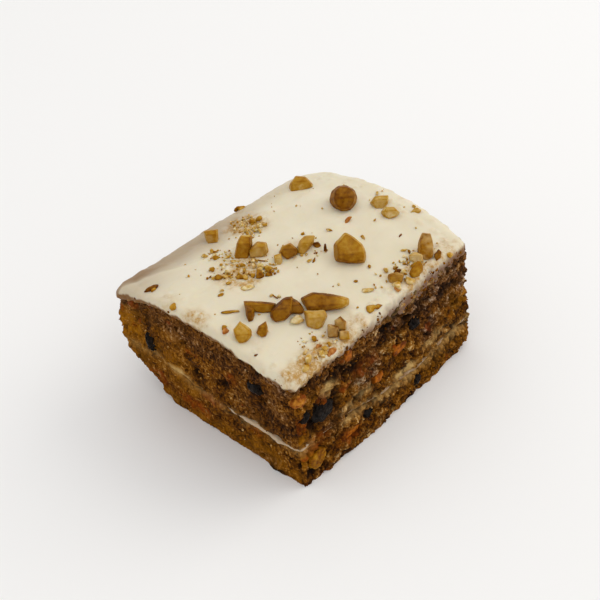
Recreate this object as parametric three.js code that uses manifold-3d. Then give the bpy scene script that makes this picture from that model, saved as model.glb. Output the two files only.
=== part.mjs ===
// A slice of carrot cake: two layers of sponge with cream between them, a cream cheese
// frosting on top with chopped walnuts pressed into it, and raisins, carrot and walnut
// showing in the cut faces.
//
// Millimetres, +Z up, Z = 0 is the flat face that the slice stands on and the origin is
// under its middle. The slice has four upright edges: front, right, back and left. The
// long cut face runs from the front edge to the right edge along +X, and the short cut
// face runs from the front edge to the left edge along +Y.

import * as THREE from 'three';
import { mergeVertices } from 'three/addons/utils/BufferGeometryUtils.js';
import Module from 'manifold-3d';

const wasm = await Module();
wasm.setup();

// ---------------------------------------------------------------- driving sizes

// The four upright edges in the order front, right, back, left. Each is a line of
// [height, x, y] from the base up. The lower sponge is drawn in at the back and left.
const UPRIGHT_EDGES = [
  {
    radius: 1.6,
    line: [[0, -39.4, -32.3], [40, -40.3, -31.5]],
  },
  {
    radius: 5.0,
    line: [[0, 31.5, -35.6], [4, 35.4, -35.8], [10, 37.2, -34.2], [20, 36.9, -32.3], [40, 36.6, -31.4]],
  },
  {
    radius: 9.0,
    line: [[0, 35.0, 21.0], [8, 37.4, 27.5], [15, 39.4, 31.0], [40, 39.8, 29.8]],
  },
  {
    radius: 2.0,
    line: [[0, -39.4, 20.4], [8, -40.0, 27.6], [15, -40.6, 34.6], [20, -41.0, 36.6], [40, -41.8, 32.8]],
  },
];
const CENTRE = new THREE.Vector2(-1, 0); // the axis that the rings close on
const MEAN_REACH = 36;          // from that axis to the sides, on average
const MIDDLE = { x: -1.0, y: 0.3 }; // middle of the finished slice, which moves to the origin

const FIT_GAP = 0.3;            // clearance between neighbouring pieces
const CREAM = {
  level: 12.6,                  // height of its middle at the front edge
  leftRise: 5.0,                // how far it climbs to the left edge
  middleDrop: 4.2,              // how far it falls along the long face
  rightRise: 1.8,               // how far it climbs again to the right edge
  thickness: 1.3,
};
const SPONGE = {
  top: 35.4,                    // top of the upper sponge along the front
  crown: 4.6,                   // how far its middle rises above that
  crownY: 7,                    // where the crown is highest, across the slice
  crownFront: 38,               // reach of the crown towards the long face
  crownBack: 27,                // and towards the back
  sagRight: 1.6,                // how far the right, back and left corners sag
  sagBack: 3.0,
  sagLeft: 1.2,
  cragDepth: 0.55,              // crumb relief on the sides
  edgeInset: 0.45,              // how far the crumb has worn back at the layer's edges
};
const FROSTING = {
  thickness: 2.7,
  lip: 0.5,                     // how far it stands out over the sponge
  ripple: 0.25,                 // waviness of that lip
  knifeWave: 0.22,              // spreading marks on top
};

const AROUND = 80;              // faces round each layer, a multiple of the four sides
const POCKET_DEPTH_SHARE = 0.4; // share of a block's depth that is pressed in
const DEEPEST_POCKET = 1.5;     // and the most that it is
const MERGE_DISTANCE = 1e-4;    // vertices nearer than this are one

// ---------------------------------------------------------------- small functions

const frac = (v) => v - Math.floor(v);
const scatter = (i, j) => frac(Math.sin(i * 12.9898 + j * 78.233) * 43758.5453);
const mix = (a, b, t) => a + (b - a) * t;

function ease(t) {
  const c = THREE.MathUtils.clamp(t, 0, 1);
  return c * c * (3 - 2 * c);
}

// Waves of about 8 mm and 4 mm that stand for the crags of torn crumb, from -1 to 1.
function crags(x, y, z) {
  const broad = Math.sin(0.71 * x + 1.3 * Math.sin(0.53 * z)) * Math.sin(0.67 * y + 0.8 * z + 0.6);
  const fine = Math.sin(1.63 * x - 0.9 * z + 1.1) * Math.sin(1.51 * y + 1.37 * z);
  return 0.62 * broad + 0.38 * fine;
}

// ---------------------------------------------------------------- heights of the layers

// Middle of the cream: lowest along the long face, rising to the left edge.
function creamHeight(x, y) {
  const left = CREAM.leftRise * ease((y + 14) / 48);
  const middle = CREAM.middleDrop * ease((x + 30) / 35);
  const right = CREAM.rightRise * ease((x - 12) / 22);
  const wave = 0.3 * Math.sin(0.31 * x + 1.1) * Math.sin(0.33 * y + 0.4);
  return CREAM.level + left - middle + right + wave;
}

function creamThickness(x, y) {
  return CREAM.thickness * (1 + 0.22 * Math.sin(0.29 * x + 0.8) * Math.sin(0.35 * y + 1.9));
}

// Top of the upper sponge: a loaf-like crown, a sag to the left, right and back edges.
function spongeTop(x, y) {
  const reach = y < SPONGE.crownY ? SPONGE.crownFront : SPONGE.crownBack;
  const crown = SPONGE.crown * Math.max(0, 1 - ((y - SPONGE.crownY) / reach) ** 2) ** 1.5;
  const sagRight = SPONGE.sagRight * ease((x - 18) / 20) * ease((-16 - y) / 14);
  const sagBack = SPONGE.sagBack * ease((x - 16) / 24) * ease((y + 6) / 34);
  const sagLeft = SPONGE.sagLeft * ease((-34 - x) / 8) * ease((y - 22) / 10);
  return SPONGE.top + crown - sagRight - sagBack - sagLeft;
}

function frostingTop(x, y) {
  const strokes = Math.sin(0.21 * x + 0.34 * y) + 0.6 * Math.sin(0.47 * x - 0.19 * y + 2.0);
  return spongeTop(x, y) + FIT_GAP + FROSTING.thickness + FROSTING.knifeWave * strokes;
}

// ---------------------------------------------------------------- plan outline

function edgeAt(edge, z) {
  const line = edge.line;
  let k = 1;
  while (k < line.length - 1 && z > line[k][0]) k += 1;
  const [z0, x0, y0] = line[k - 1];
  const [z1, x1, y1] = line[k];
  const t = THREE.MathUtils.clamp((z - z0) / (z1 - z0), 0, 1);
  return new THREE.Vector2(mix(x0, x1, t), mix(y0, y1, t));
}

// A point of the outline at height z. u goes once round, anticlockwise from above,
// and each side takes a quarter of it. Corners are quadratic curves of the edge's radius.
function outlineAt(u, z) {
  const corners = UPRIGHT_EDGES.map((edge) => edgeAt(edge, z));
  const turn = frac(u) * 4;
  const side = Math.min(3, Math.floor(turn));
  const t = turn - side;
  const next = (side + 1) % 4;
  const length = corners[side].distanceTo(corners[next]);
  const nearStart = UPRIGHT_EDGES[side].radius / length;
  const nearEnd = UPRIGHT_EDGES[next].radius / length;
  if (t < nearStart) return cornerCurve(corners, side, 0.5 + (0.5 * t) / nearStart);
  if (t > 1 - nearEnd) return cornerCurve(corners, next, 0.5 - (0.5 * (1 - t)) / nearEnd);
  return corners[side].clone().lerp(corners[next], t);
}

function cornerCurve(corners, k, t) {
  const corner = corners[k];
  const radius = UPRIGHT_EDGES[k].radius;
  const towards = (other) => other.clone().sub(corner).setLength(radius).add(corner);
  const start = towards(corners[(k + 3) % 4]);
  const end = towards(corners[(k + 1) % 4]);
  return new THREE.QuadraticBezierCurve(start, corner, end).getPoint(t);
}

// Outward direction of the outline, level with the ground.
function outwardAt(u, z) {
  const step = 0.004;
  const along = outlineAt(u + step, z).sub(outlineAt(u - step, z)).normalize();
  return new THREE.Vector2(along.y, -along.x);
}

function sidePoint(u, z, out) {
  const point = outlineAt(u, z);
  return point.addScaledVector(outwardAt(u, z), out);
}

// ---------------------------------------------------------------- layers as closed rings

// A closed body whose rings are listed from the top down. Each ring is a function of u
// that gives [x, y, z]. The first and last are single points, the poles.
function ringBody(rings) {
  const geometry = new THREE.SphereGeometry(1, AROUND, rings.length - 1);
  const position = geometry.attributes.position;
  for (let row = 0; row < rings.length; row += 1) {
    for (let step = 0; step <= AROUND; step += 1) {
      const [x, y, z] = rings[row]((step % AROUND) / AROUND);
      position.setXYZ(row * (AROUND + 1) + step, x, y, z);
    }
  }
  return geometry;
}

// Rings of a level face, from its middle to its rim: each is the rim drawn in by a share.
function faceRings(shares, rimZ, height) {
  return shares.map((share) => (u) => {
    const { x, y } = CENTRE.clone().lerp(outlineAt(u, rimZ), share);
    return [x, y, height(x, y)];
  });
}

// A ring on the side of a layer, a share of the way up between its two faces.
function sideRing(share, midZ, bottom, top, inset) {
  return (u) => {
    const guide = outlineAt(u, midZ);
    const z = mix(bottom(guide.x, guide.y), top(guide.x, guide.y), share);
    const smooth = outlineAt(u, z);
    const { x, y } = sidePoint(u, z, SPONGE.cragDepth * crags(smooth.x, smooth.y, z) - inset);
    return [x, y, mix(bottom(x, y), top(x, y), share)];
  };
}

function spongeLayer({ bottom, top, bottomZ, topZ, bottomShares, topShares, sideShares }) {
  const last = sideShares.length - 1;
  const sides = sideShares.map((share, k) => {
    const inset = k === 0 || k === last ? SPONGE.edgeInset : 0;
    return sideRing(share, mix(bottomZ, topZ, share), bottom, top, inset);
  });
  return ringBody([
    ...faceRings(topShares, topZ, top),
    ...sides,
    ...faceRings([...bottomShares].reverse(), bottomZ, bottom),
  ]);
}

// Shares from 1 at the top to 0 at the bottom, in equal steps.
const steps = (count) => Array.from({ length: count + 1 }, (_, k) => 1 - k / count);

// ---------------------------------------------------------------- manifold solids

function solidOf(geometry) {
  const plain = geometry.clone();
  plain.deleteAttribute('normal');
  plain.deleteAttribute('uv');
  const merged = mergeVertices(plain, MERGE_DISTANCE);
  const mesh = new wasm.Mesh({
    numProp: 3,
    vertProperties: new Float32Array(merged.attributes.position.array),
    triVerts: new Uint32Array(merged.index.array),
  });
  return new wasm.Manifold(mesh);
}

function geometryOf(solid) {
  const mesh = solid.getMesh();
  const geometry = new THREE.BufferGeometry();
  geometry.setAttribute('position', new THREE.BufferAttribute(mesh.vertProperties, 3));
  geometry.setIndex(new THREE.BufferAttribute(mesh.triVerts, 1));
  return geometry;
}

const addAll = (solid, others) => others.reduce((sum, other) => sum.add(other), solid);
const cutAll = (solid, others) => others.reduce((left, other) => left.subtract(other), solid);

// ---------------------------------------------------------------- chunks

const stretch = ({ length, width, height }, grow) => [
  length / 2 + grow,
  width / 2 + grow,
  height / 2 + grow,
];

const FLATS = 7;

// Seeded flats that cut the arrises and corners off a block of half size 1.
function seededFlats(seed, count) {
  return Array.from({ length: count }, (_, k) => {
    const level = 0.86 - (1.72 * (k + 0.5)) / count;
    const turn = 2.4 * k + 6.28 * scatter(seed, 3);
    const round = Math.sqrt(1 - level * level);
    const normal = new THREE.Vector3(round * Math.cos(turn), round * Math.sin(turn), level);
    return { normal, distance: 0.84 + 0.34 * scatter(seed, 11 + k) };
  });
}

// A chopped piece: a block with every seeded flat cut off it, stretched to its size.
function choppedSolid(piece, grow, seed) {
  const reach = 4;
  const cuts = seededFlats(seed, FLATS).map(({ normal, distance }) => {
    const beyond = new THREE.BoxGeometry(reach, reach, reach);
    beyond.lookAt(normal);
    beyond.translate(...normal.clone().multiplyScalar(distance + reach / 2).toArray());
    return solidOf(beyond);
  });
  const geometry = geometryOf(cutAll(solidOf(new THREE.BoxGeometry(2, 2, 2)), cuts));
  return geometry.scale(...stretch(piece, grow));
}

// A dried fruit: a ball with puckers round it, stretched to its size.
function puckeredSolid(piece, grow, seed) {
  const geometry = new THREE.IcosahedronGeometry(1, 1);
  const position = geometry.attributes.position;
  const point = new THREE.Vector3();
  for (let k = 0; k < position.count; k += 1) {
    point.fromBufferAttribute(position, k);
    const folds = Math.sin(5 * Math.atan2(point.y, point.x) + 6 * scatter(seed, 5) + 2 * point.z);
    point.multiplyScalar(0.96 + 0.08 * folds);
    position.setXYZ(k, point.x, point.y, point.z);
  }
  return geometry.scale(...stretch(piece, grow));
}

// ---------------------------------------------------------------- walnut pieces on top

// A chopped block shows its cut face to the front edge and up. These are the directions
// across that face, out of it and up it.
const ACROSS = new THREE.Vector3(1, -1, 0).normalize();
const FACING = new THREE.Vector3(-0.545, -0.545, 0.637).normalize();
const UPWARD = FACING.clone().cross(ACROSS);
const FACET_TILT = 20;          // degrees that the face's two facets lean from each other
const SIDE_LEAN = 11;           // degrees that the sides lean back from the face
const SIDE_BASE = 0.4;          // share of half the depth at which a side meets its outline
const LEAST_REACH = 0.3;        // of any flat from the block's middle
const BLOCK_ROOM = 20;          // edge of the cube that a block is cut from

// Each piece of walnut is one block, or two or three that are one piece where it is bent.
// The outline is drawn on the face: [across, up] from the block's middle, anticlockwise.
// rise is the middle's height over the frosting, depth is through the block, and crest is
// how high up the face its two facets meet.
const WALNUTS = [
  [{
    x: 22.1, y: 2.7, rise: 2.5, depth: 6.4, crest: 0,
    outline: [
      [-2.7, -2.2], [-1.2, -3.4], [1.2, -3.4], [2.7, -2.0], [3.5, 0.3], [2.8, 2.2],
      [0.9, 3.4], [-1.2, 3.4], [-2.7, 2.2], [-3.4, 0.2],
    ],
  }],
  [{
    x: 5.2, y: -13.6, rise: 2.8, depth: 5.4, crest: -1.6,
    outline: [
      [-4.0, -2.7], [-0.4, -3.9], [3.4, -3.8], [3.8, -1.2], [3.1, 0.8], [0.2, 3.6],
      [-0.9, 4.1], [-3.8, 1.6],
    ],
  }],
  [{
    x: -14.0, y: -20.7, rise: 1.5, depth: 3.8, crest: -0.9,
    outline: [
      [-4.8, -2.0], [-0.3, -2.3], [4.7, -1.7], [5.9, -0.9], [5.9, 0.3], [3.0, 1.4],
      [0.1, 2.0], [-2.8, 2.6], [-5.9, 1.5],
    ],
  }],
  [{
    x: -20.5, y: -23.0, rise: 1.3, depth: 3.2, crest: 0.6,
    outline: [[-2.3, -1.4], [-0.1, -2.3], [1.4, -1.7], [2.8, 1.1], [2.2, 2.1], [-2.5, 2.3]],
  }],
  [
    {
      x: -24.7, y: -14.9, rise: 2.0, depth: 3.8, crest: 0.3,
      outline: [
        [-1.9, -2.9], [0.8, -2.4], [2.5, -0.8], [2.8, 2.9], [0.9, 2.7], [-0.8, 1.4],
        [-2.4, 0.2], [-2.7, -1.4],
      ],
    },
    {
      x: -20.9, y: -16.1, rise: 1.4, depth: 3.4, crest: 0.2,
      outline: [
        [-2.5, -2.0], [-0.1, -1.9], [1.9, -2.2], [2.2, -1.5], [1.4, 0.3], [0.2, 1.5],
        [-1.4, 2.3], [-2.1, 2.2],
      ],
    },
  ],
  [
    {
      x: -27.0, y: -9.3, rise: 1.0, depth: 2.6, crest: 0.6,
      outline: [[-3.6, 0.1], [0.5, -1.5], [3.1, -1.4], [4.0, 0.5], [2.1, 1.0], [-3.8, 1.8]],
    },
    {
      x: -31.0, y: -9.5, rise: 1.2, depth: 3.8, crest: 0.6,
      outline: [[-0.6, -0.6], [-0.3, -2.0], [0.7, -1.6], [0.9, 1.1], [-0.6, 2.1]],
    },
  ],
  [{
    x: -37.2, y: -12.9, rise: 1.6, depth: 2.8, crest: -0.4,
    outline: [
      [-1.8, -1.0], [-0.9, -2.5], [0.8, -2.2], [2.0, -0.7], [2.0, 0.6], [-0.4, 2.6],
      [-2.0, 0.9],
    ],
  }],
  [{
    x: -32.7, y: -15.4, rise: 1.0, depth: 2.2, crest: 0.6,
    outline: [[0.0, -1.8], [0.8, -1.6], [1.3, 0.4], [1.0, 1.8], [-0.7, 0.9], [-1.3, -0.6]],
  }],
  [{
    x: 24.1, y: 21.7, rise: 1.3, depth: 4.2, crest: 0.6,
    outline: [
      [-3.2, -2.0], [-0.6, -2.4], [3.4, -1.1], [3.3, -0.2], [1.5, 2.0], [-1.1, 2.4],
      [-3.0, 0.4],
    ],
  }],
  [{
    x: 29.0, y: -5.2, rise: 1.1, depth: 3.0, crest: 0.6,
    outline: [[-1.3, -1.8], [0.6, -2.0], [2.2, -0.3], [2.5, 1.7], [-1.1, 1.7], [-2.4, 0.1]],
  }],
  [{
    x: 27.1, y: -10.7, rise: 0.9, depth: 2.8, crest: 0.6,
    outline: [
      [-2.1, -0.7], [-0.7, -1.6], [1.2, -1.2], [2.4, 0.0], [1.1, 1.5], [-1.2, 1.8],
      [-2.3, 0.7],
    ],
  }],
  [{
    x: -11.6, y: 24.7, rise: 1.2, depth: 3.0, crest: 0.6,
    outline: [[-0.9, -2.0], [1.8, -1.8], [1.7, 1.9], [-1.8, 1.8]],
  }],
  [{
    x: -13.1, y: 10.0, rise: 2.0, depth: 3.6, crest: 0.9,
    outline: [
      [-2.3, -2.8], [-0.6, -3.1], [1.1, -2.9], [2.3, 0.2], [2.4, 3.0], [-0.1, 3.2],
      [-1.3, 1.3],
    ],
  }],
  [{
    x: -10.6, y: 6.5, rise: 1.2, depth: 3.2, crest: 0.6,
    outline: [[-2.4, -1.9], [1.0, -2.0], [2.4, -0.5], [2.2, 1.7], [0.0, 2.1], [-2.4, 0.2]],
  }],
  [{
    x: -1.0, y: -2.6, rise: 1.6, depth: 2.8, crest: 0.6,
    outline: [
      [-2.2, -1.6], [-0.7, -2.5], [0.4, -1.2], [2.0, 0.7], [2.5, 2.4], [0.1, 2.6],
      [-1.5, 1.3],
    ],
  }],
  [{
    x: -5.5, y: -0.1, rise: 1.2, depth: 3.0, crest: 0.6,
    outline: [[-0.4, -2.1], [2.2, -0.9], [2.3, 0.5], [0.7, 2.0], [-1.4, 1.5], [-2.3, -0.1]],
  }],
  [{
    x: 21.4, y: -27.3, rise: 2.4, depth: 3.2, crest: -0.6,
    outline: [
      [-2.2, -2.1], [-0.3, -3.6], [1.7, -2.8], [2.0, 0.7], [1.6, 3.4], [-0.3, 3.7],
      [-1.3, 2.0],
    ],
  }],
  [{
    x: 17.2, y: -26.9, rise: 0.8, depth: 2.4, crest: 0.6,
    outline: [[-1.6, -0.6], [0.2, -1.6], [2.0, -1.2], [1.8, 0.6], [0.1, 1.5], [-1.4, 0.8]],
  }],
  [
    {
      x: -19.9, y: -28.2, rise: 1.2, depth: 2.6, crest: 0.6,
      outline: [[-1.3, -1.4], [1.0, -1.6], [1.4, 0.9], [-0.9, 1.5]],
    },
    {
      x: -17.0, y: -28.2, rise: 1.3, depth: 2.4, crest: 0.6,
      outline: [[-1.2, -1.2], [1.1, -1.4], [1.4, 0.6], [0.2, 1.8], [-1.2, 1.0]],
    },
    {
      x: -18.9, y: -31.0, rise: 0.8, depth: 2.2, crest: 0.6,
      outline: [[-1.2, -1.0], [1.3, -1.1], [1.2, 0.8], [-1.0, 1.0]],
    },
  ],
  [{
    x: 7.2, y: -27.6, rise: 0.9, depth: 2.6, crest: 0.6,
    outline: [[-1.9, -0.8], [-0.4, -1.8], [1.6, -1.2], [2.2, 0.6], [0.4, 1.4], [-1.6, 1.0]],
  }],
];

// How far a block's foot is pressed into the frosting.
const pressedIn = ({ depth }) => Math.min(POCKET_DEPTH_SHARE * depth, DEEPEST_POCKET);

// The flats of a block, each an outward normal and its distance from the middle: one for
// each side of the outline, the face's two facets, the back and the foot.
function blockFlats(block) {
  const half = block.depth / 2;
  const lean = THREE.MathUtils.degToRad(SIDE_LEAN);
  const tilt = THREE.MathUtils.degToRad(FACET_TILT);
  const sides = block.outline.map(([across, up], k) => {
    const [nextAcross, nextUp] = block.outline[(k + 1) % block.outline.length];
    const way = new THREE.Vector2(nextUp - up, across - nextAcross).normalize();
    const normal = new THREE.Vector3()
      .addScaledVector(ACROSS, Math.cos(lean) * way.x)
      .addScaledVector(UPWARD, Math.cos(lean) * way.y)
      .addScaledVector(FACING, Math.sin(lean));
    const reach = way.x * across + way.y * up;
    return [normal, Math.cos(lean) * reach + Math.sin(lean) * SIDE_BASE * half];
  });
  const facets = [1, -1].map((sign) => {
    const normal = FACING.clone().multiplyScalar(Math.cos(tilt));
    normal.addScaledVector(UPWARD, sign * Math.sin(tilt));
    return [normal, half * Math.cos(tilt) + sign * block.crest * Math.sin(tilt)];
  });
  const back = [FACING.clone().negate(), half];
  const foot = [new THREE.Vector3(0, 0, -1), block.rise + pressedIn(block)];
  return [...sides, ...facets, back, foot];
}

// A block cut out of a cube by its flats, on the frosting.
function blockSolid(block, grow) {
  const cube = wasm.Manifold.cube([BLOCK_ROOM, BLOCK_ROOM, BLOCK_ROOM], true);
  const cut = blockFlats(block).reduce((left, [normal, distance]) => {
    const reach = Math.max(distance, LEAST_REACH) + grow;
    return left.trimByPlane(normal.clone().negate().toArray(), -reach);
  }, cube);
  return cut.translate(block.x, block.y, frostingTop(block.x, block.y) + block.rise);
}

const walnutSolid = (blocks, grow) => {
  const [first, ...rest] = blocks.map((block) => blockSolid(block, grow));
  return addAll(first, rest);
};

// A piece that leans on others is cut back from those nearer to the front edge.
function fittedWalnut(blocks) {
  const nearness = ([{ x, y }]) => -x - y;
  const nearer = WALNUTS.filter((others) => nearness(others) > nearness(blocks));
  return cutAll(walnutSolid(blocks, 0), nearer.map((others) => walnutSolid(others, FIT_GAP)));
}

// ---------------------------------------------------------------- nut crumbs on top

// Chips of nut and carrot that lie flat on the frosting, each at its own place. sink is
// how far one lies below the level of the top, where the rim rounds off.
const CHIPS = [
  { x: 13.1, y: -29.4, length: 5.2, width: 3.4, height: 2.6, turn: 20 },
  { x: 10.6, y: -26, length: 2.2, width: 1.4, height: 1.2, turn: -20 },
  { x: 15.4, y: -28.4, length: 2.4, width: 2.2, height: 1.6, turn: 60 },
  { x: 5.2, y: -29.6, length: 3.4, width: 2.4, height: 1.6, turn: 10 },
  { x: 9.8, y: -30.2, length: 3, width: 2.2, height: 1.6, turn: -30, sink: 0.25 },
  { x: -6.3, y: -29.7, length: 3, width: 2.6, height: 1.6, turn: 30 },
  { x: -4, y: -30.5, length: 2, width: 1.4, height: 1.2, turn: 0, sink: 0.4 },
  { x: -1, y: -24.5, length: 3.4, width: 1.6, height: 0.8, turn: -35 },
  { x: -23.4, y: -18.6, length: 3.6, width: 2.6, height: 1.6, turn: -40 },
  { x: -32.6, y: -4.4, length: 3.9, width: 1.2, height: 0.9, turn: -42 },
  { x: -32.2, y: -4.9, length: 3.4, width: 0.8, height: 0.9, turn: -44 },
  { x: -37.6, y: 20.9, length: 4.2, width: 1.6, height: 1.2, turn: -18 },
  { x: -38, y: 20.2, length: 2, width: 1.1, height: 1, turn: 40 },
  { x: -24.9, y: 7.6, length: 2.6, width: 1.8, height: 1.5, turn: 20 },
  { x: -24, y: 6.4, length: 1.8, width: 1.2, height: 1.1, turn: -30 },
  { x: -25.6, y: 8.8, length: 1.6, width: 1.4, height: 1, turn: 50 },
  { x: -21.7, y: 3.1, length: 2.4, width: 1.8, height: 1.4, turn: -30 },
  { x: -20.6, y: 2, length: 1.6, width: 1.4, height: 1.1, turn: 10 },
  { x: -17.5, y: -0.3, length: 3.2, width: 2.6, height: 2.4, turn: -40 },
  { x: -18.9, y: 0.9, length: 1.6, width: 1.4, height: 1.4, turn: 20 },
  { x: -15.4, y: -2.3, length: 1.8, width: 1.4, height: 1.3, turn: -30 },
  { x: -23, y: -1.4, length: 3.4, width: 2.2, height: 1, turn: -45 },
  { x: -29.7, y: 1.8, length: 1.8, width: 1, height: 0.8, turn: -30 },
  { x: -38, y: -6.9, length: 1.8, width: 1.2, height: 1, turn: 0 },
  { x: -14.3, y: 5.6, length: 2.2, width: 0.9, height: 0.8, turn: -20 },
  { x: -17, y: 18, length: 3.2, width: 0.8, height: 0.8, turn: -40 },
  { x: -17.6, y: 17, length: 2, width: 1.2, height: 0.8, turn: 10 },
  { x: -16.8, y: 12.6, length: 2.6, width: 1.4, height: 1, turn: -20 },
  { x: -17.1, y: 9.4, length: 2.8, width: 1.6, height: 1, turn: -30 },
  { x: 2.7, y: -6.3, length: 1.2, width: 0.8, height: 2.6, turn: -40 },
  { x: 6.6, y: 31.2, length: 3.8, width: 2.4, height: 1.8, turn: 20 },
  { x: 6.6, y: 31.8, length: 3.4, width: 0.7, height: 2.4, turn: 10 },
  { x: 26.6, y: -31.5, length: 2.4, width: 1.6, height: 1.6, turn: 0, sink: 1.1 },
  { x: 32.8, y: -1.2, length: 1.8, width: 1, height: 0.8, turn: 30 },
  { x: 33.6, y: -14.6, length: 2.6, width: 1.6, height: 1.4, turn: -60 },
  { x: 35, y: -13.4, length: 1.6, width: 1.2, height: 1.2, turn: 0 },
  { x: -31.4, y: -29.4, length: 2.6, width: 1.8, height: 1.4, turn: 20 },
  { x: -33.9, y: -30.7, length: 2.4, width: 1.8, height: 1.4, turn: -40, sink: 0.4 },
  { x: -27.6, y: -30.8, length: 2.2, width: 1.8, height: 1.3, turn: 60, sink: 0.5 },
  { x: -25.4, y: -30, length: 1.8, width: 1.2, height: 1.2, turn: 0, sink: 0.15 },
  { x: 16.4, y: -3.1, length: 2.6, width: 1.3, height: 0.9, turn: 25 },
  { x: 4.4, y: -30.6, length: 2.2, width: 1.3, height: 1.2, turn: 70 },
  { x: 5.8, y: -29.6, length: 1.4, width: 0.9, height: 1, turn: 0 },
  { x: -26, y: -28.2, length: 2.4, width: 1.5, height: 1.3, turn: 10 },
  { x: -24.8, y: -31.6, length: 2.6, width: 1.8, height: 1.4, turn: -10, sink: 1.3 },
  { x: -38.9, y: -8.6, length: 2.2, width: 1.7, height: 1.2, turn: 30 },
  { x: -40.6, y: 9, length: 2.4, width: 1.7, height: 1.4, turn: 0, sink: 0.35 },
];

// Drifts of crumbs: middle, reach along and across, direction in degrees, how many, and
// the largest size. The last one is the loose sprinkling over the whole top.
const DRIFTS = [
  { x: -1.5, y: 17.5, along: 5.5, across: 3.4, turn: 43, count: 8, size: 2.8 },
  { x: -17.5, y: 4.5, along: 9.5, across: 2.6, turn: -50, count: 11, size: 3.0 },
  { x: -16.5, y: 16.0, along: 5.0, across: 3.4, turn: -50, count: 5, size: 2.4 },
  { x: -1.0, y: -2.5, along: 6.0, across: 2.6, turn: -50, count: 4, size: 2.4 },
  { x: 14.0, y: -26.0, along: 12.0, across: 2.4, turn: -4, count: 8, size: 2.8 },
  { x: -27.0, y: -25.5, along: 7.0, across: 2.0, turn: 6, count: 4, size: 2.2 },
  { x: -2.0, y: 0.0, along: 35.0, across: 25.0, turn: 0, count: 12, size: 2.2 },
];
const FULL_TURN = 2 * Math.PI;
const CRUMB_CLEARANCE = 0.5;
const CHIP_LIFT = 0.1;          // share of a chip's height that its middle is over the frosting
const CRUMB_LIFT = 0.12;        // and the same for a crumb

function clearOfWalnuts(x, y, reach) {
  return WALNUTS.flat().every((block) => {
    const widest = Math.max(...block.outline.map(([across, up]) => Math.hypot(across, up)));
    return Math.hypot(block.x - x, block.y - y) > widest + reach + CRUMB_CLEARANCE;
  });
}

// Every crumb has a place and a size from its drift and its own number.
function crumbPlaces() {
  const places = [];
  DRIFTS.forEach((drift, d) => {
    const turn = THREE.MathUtils.degToRad(drift.turn);
    for (let k = 0; k < drift.count; k += 1) {
      const key = 100 * (d + 1) + k;
      const angle = FULL_TURN * scatter(key, 1);
      const reach = Math.sqrt(scatter(key, 2));
      const along = drift.along * reach * Math.cos(angle);
      const across = drift.across * reach * Math.sin(angle);
      const x = drift.x + along * Math.cos(turn) - across * Math.sin(turn);
      const y = drift.y + along * Math.sin(turn) + across * Math.cos(turn);
      const size = drift.size * mix(0.6, 1, scatter(key, 3));
      if (clearOfWalnuts(x, y, size / 2)) places.push({ x, y, size, key });
    }
  });
  return places;
}

function chipSolid({ x, y, length, width, height, turn, sink = 0 }) {
  const geometry = new THREE.IcosahedronGeometry(1 / 2, 0);
  geometry.scale(length, width, height);
  geometry.rotateZ(THREE.MathUtils.degToRad(turn));
  geometry.translate(x, y, frostingTop(x, y) + CHIP_LIFT * height - sink);
  return solidOf(geometry);
}

function crumbSolid({ x, y, size, key }) {
  const geometry = new THREE.IcosahedronGeometry(size / 2, 0);
  geometry.scale(1, mix(0.65, 1, scatter(key, 4)), mix(0.6, 0.9, scatter(key, 5)));
  geometry.rotateZ(FULL_TURN * scatter(key, 6));
  geometry.translate(x, y, frostingTop(x, y) + CRUMB_LIFT * size);
  return solidOf(geometry);
}

// ---------------------------------------------------------------- pieces in the cut faces

// A piece on the long face is placed by its x and one on the short face by its y. proud
// is how far its middle stands out of the face, negative where it lies inside.
const LONG_FACE = { first: 0, second: 1, coordinate: 'x' };
const SHORT_FACE = { first: 3, second: 0, coordinate: 'y' };
const RAISINS = [
  { face: LONG_FACE, at: -29.4, z: 20.2, length: 9.4, width: 5.0, height: 8.6, proud: -1.6 },
  { face: LONG_FACE, at: -36.6, z: 23.2, length: 4.2, width: 4.0, height: 3.8, proud: -1.2 },
  { face: SHORT_FACE, at: 23.4, z: 22.6, length: 3.6, width: 4.0, height: 8.0, proud: -1.2 },
  { face: SHORT_FACE, at: -18.0, z: 28.6, length: 6.2, width: 4.0, height: 4.4, proud: -1.2 },
  { face: LONG_FACE, at: 10.4, z: 23.0, length: 5.6, width: 4.0, height: 4.2, proud: -1.2 },
  { face: LONG_FACE, at: 8.2, z: 4.2, length: 4.2, width: 4.0, height: 4.6, proud: -1.2 },
  { face: LONG_FACE, at: -13.2, z: 6.8, length: 5.6, width: 4.0, height: 3.2, proud: -1.2 },
];
const SULTANAS = [
  { face: LONG_FACE, at: -37.6, z: 30.4, length: 5.2, width: 4.4, height: 4.6, proud: -1.0 },
];
const CARROTS = [
  { face: LONG_FACE, at: -7.4, z: 15.6, length: 4.6, width: 3.0, height: 3.0, proud: -0.8 },
  { face: LONG_FACE, at: -18.6, z: 32.0, length: 4.0, width: 3.0, height: 2.8, proud: -0.8 },
  { face: LONG_FACE, at: -20.4, z: 6.0, length: 6.4, width: 3.0, height: 3.0, proud: -0.8 },
  { face: LONG_FACE, at: 2.8, z: 19.6, length: 6.0, width: 3.0, height: 3.0, proud: -0.8 },
];
const SUNK_WALNUTS = [
  { face: LONG_FACE, at: -33.6, z: 6.0, length: 6.6, width: 4.0, height: 5.2, proud: -1.0 },
];

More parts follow.
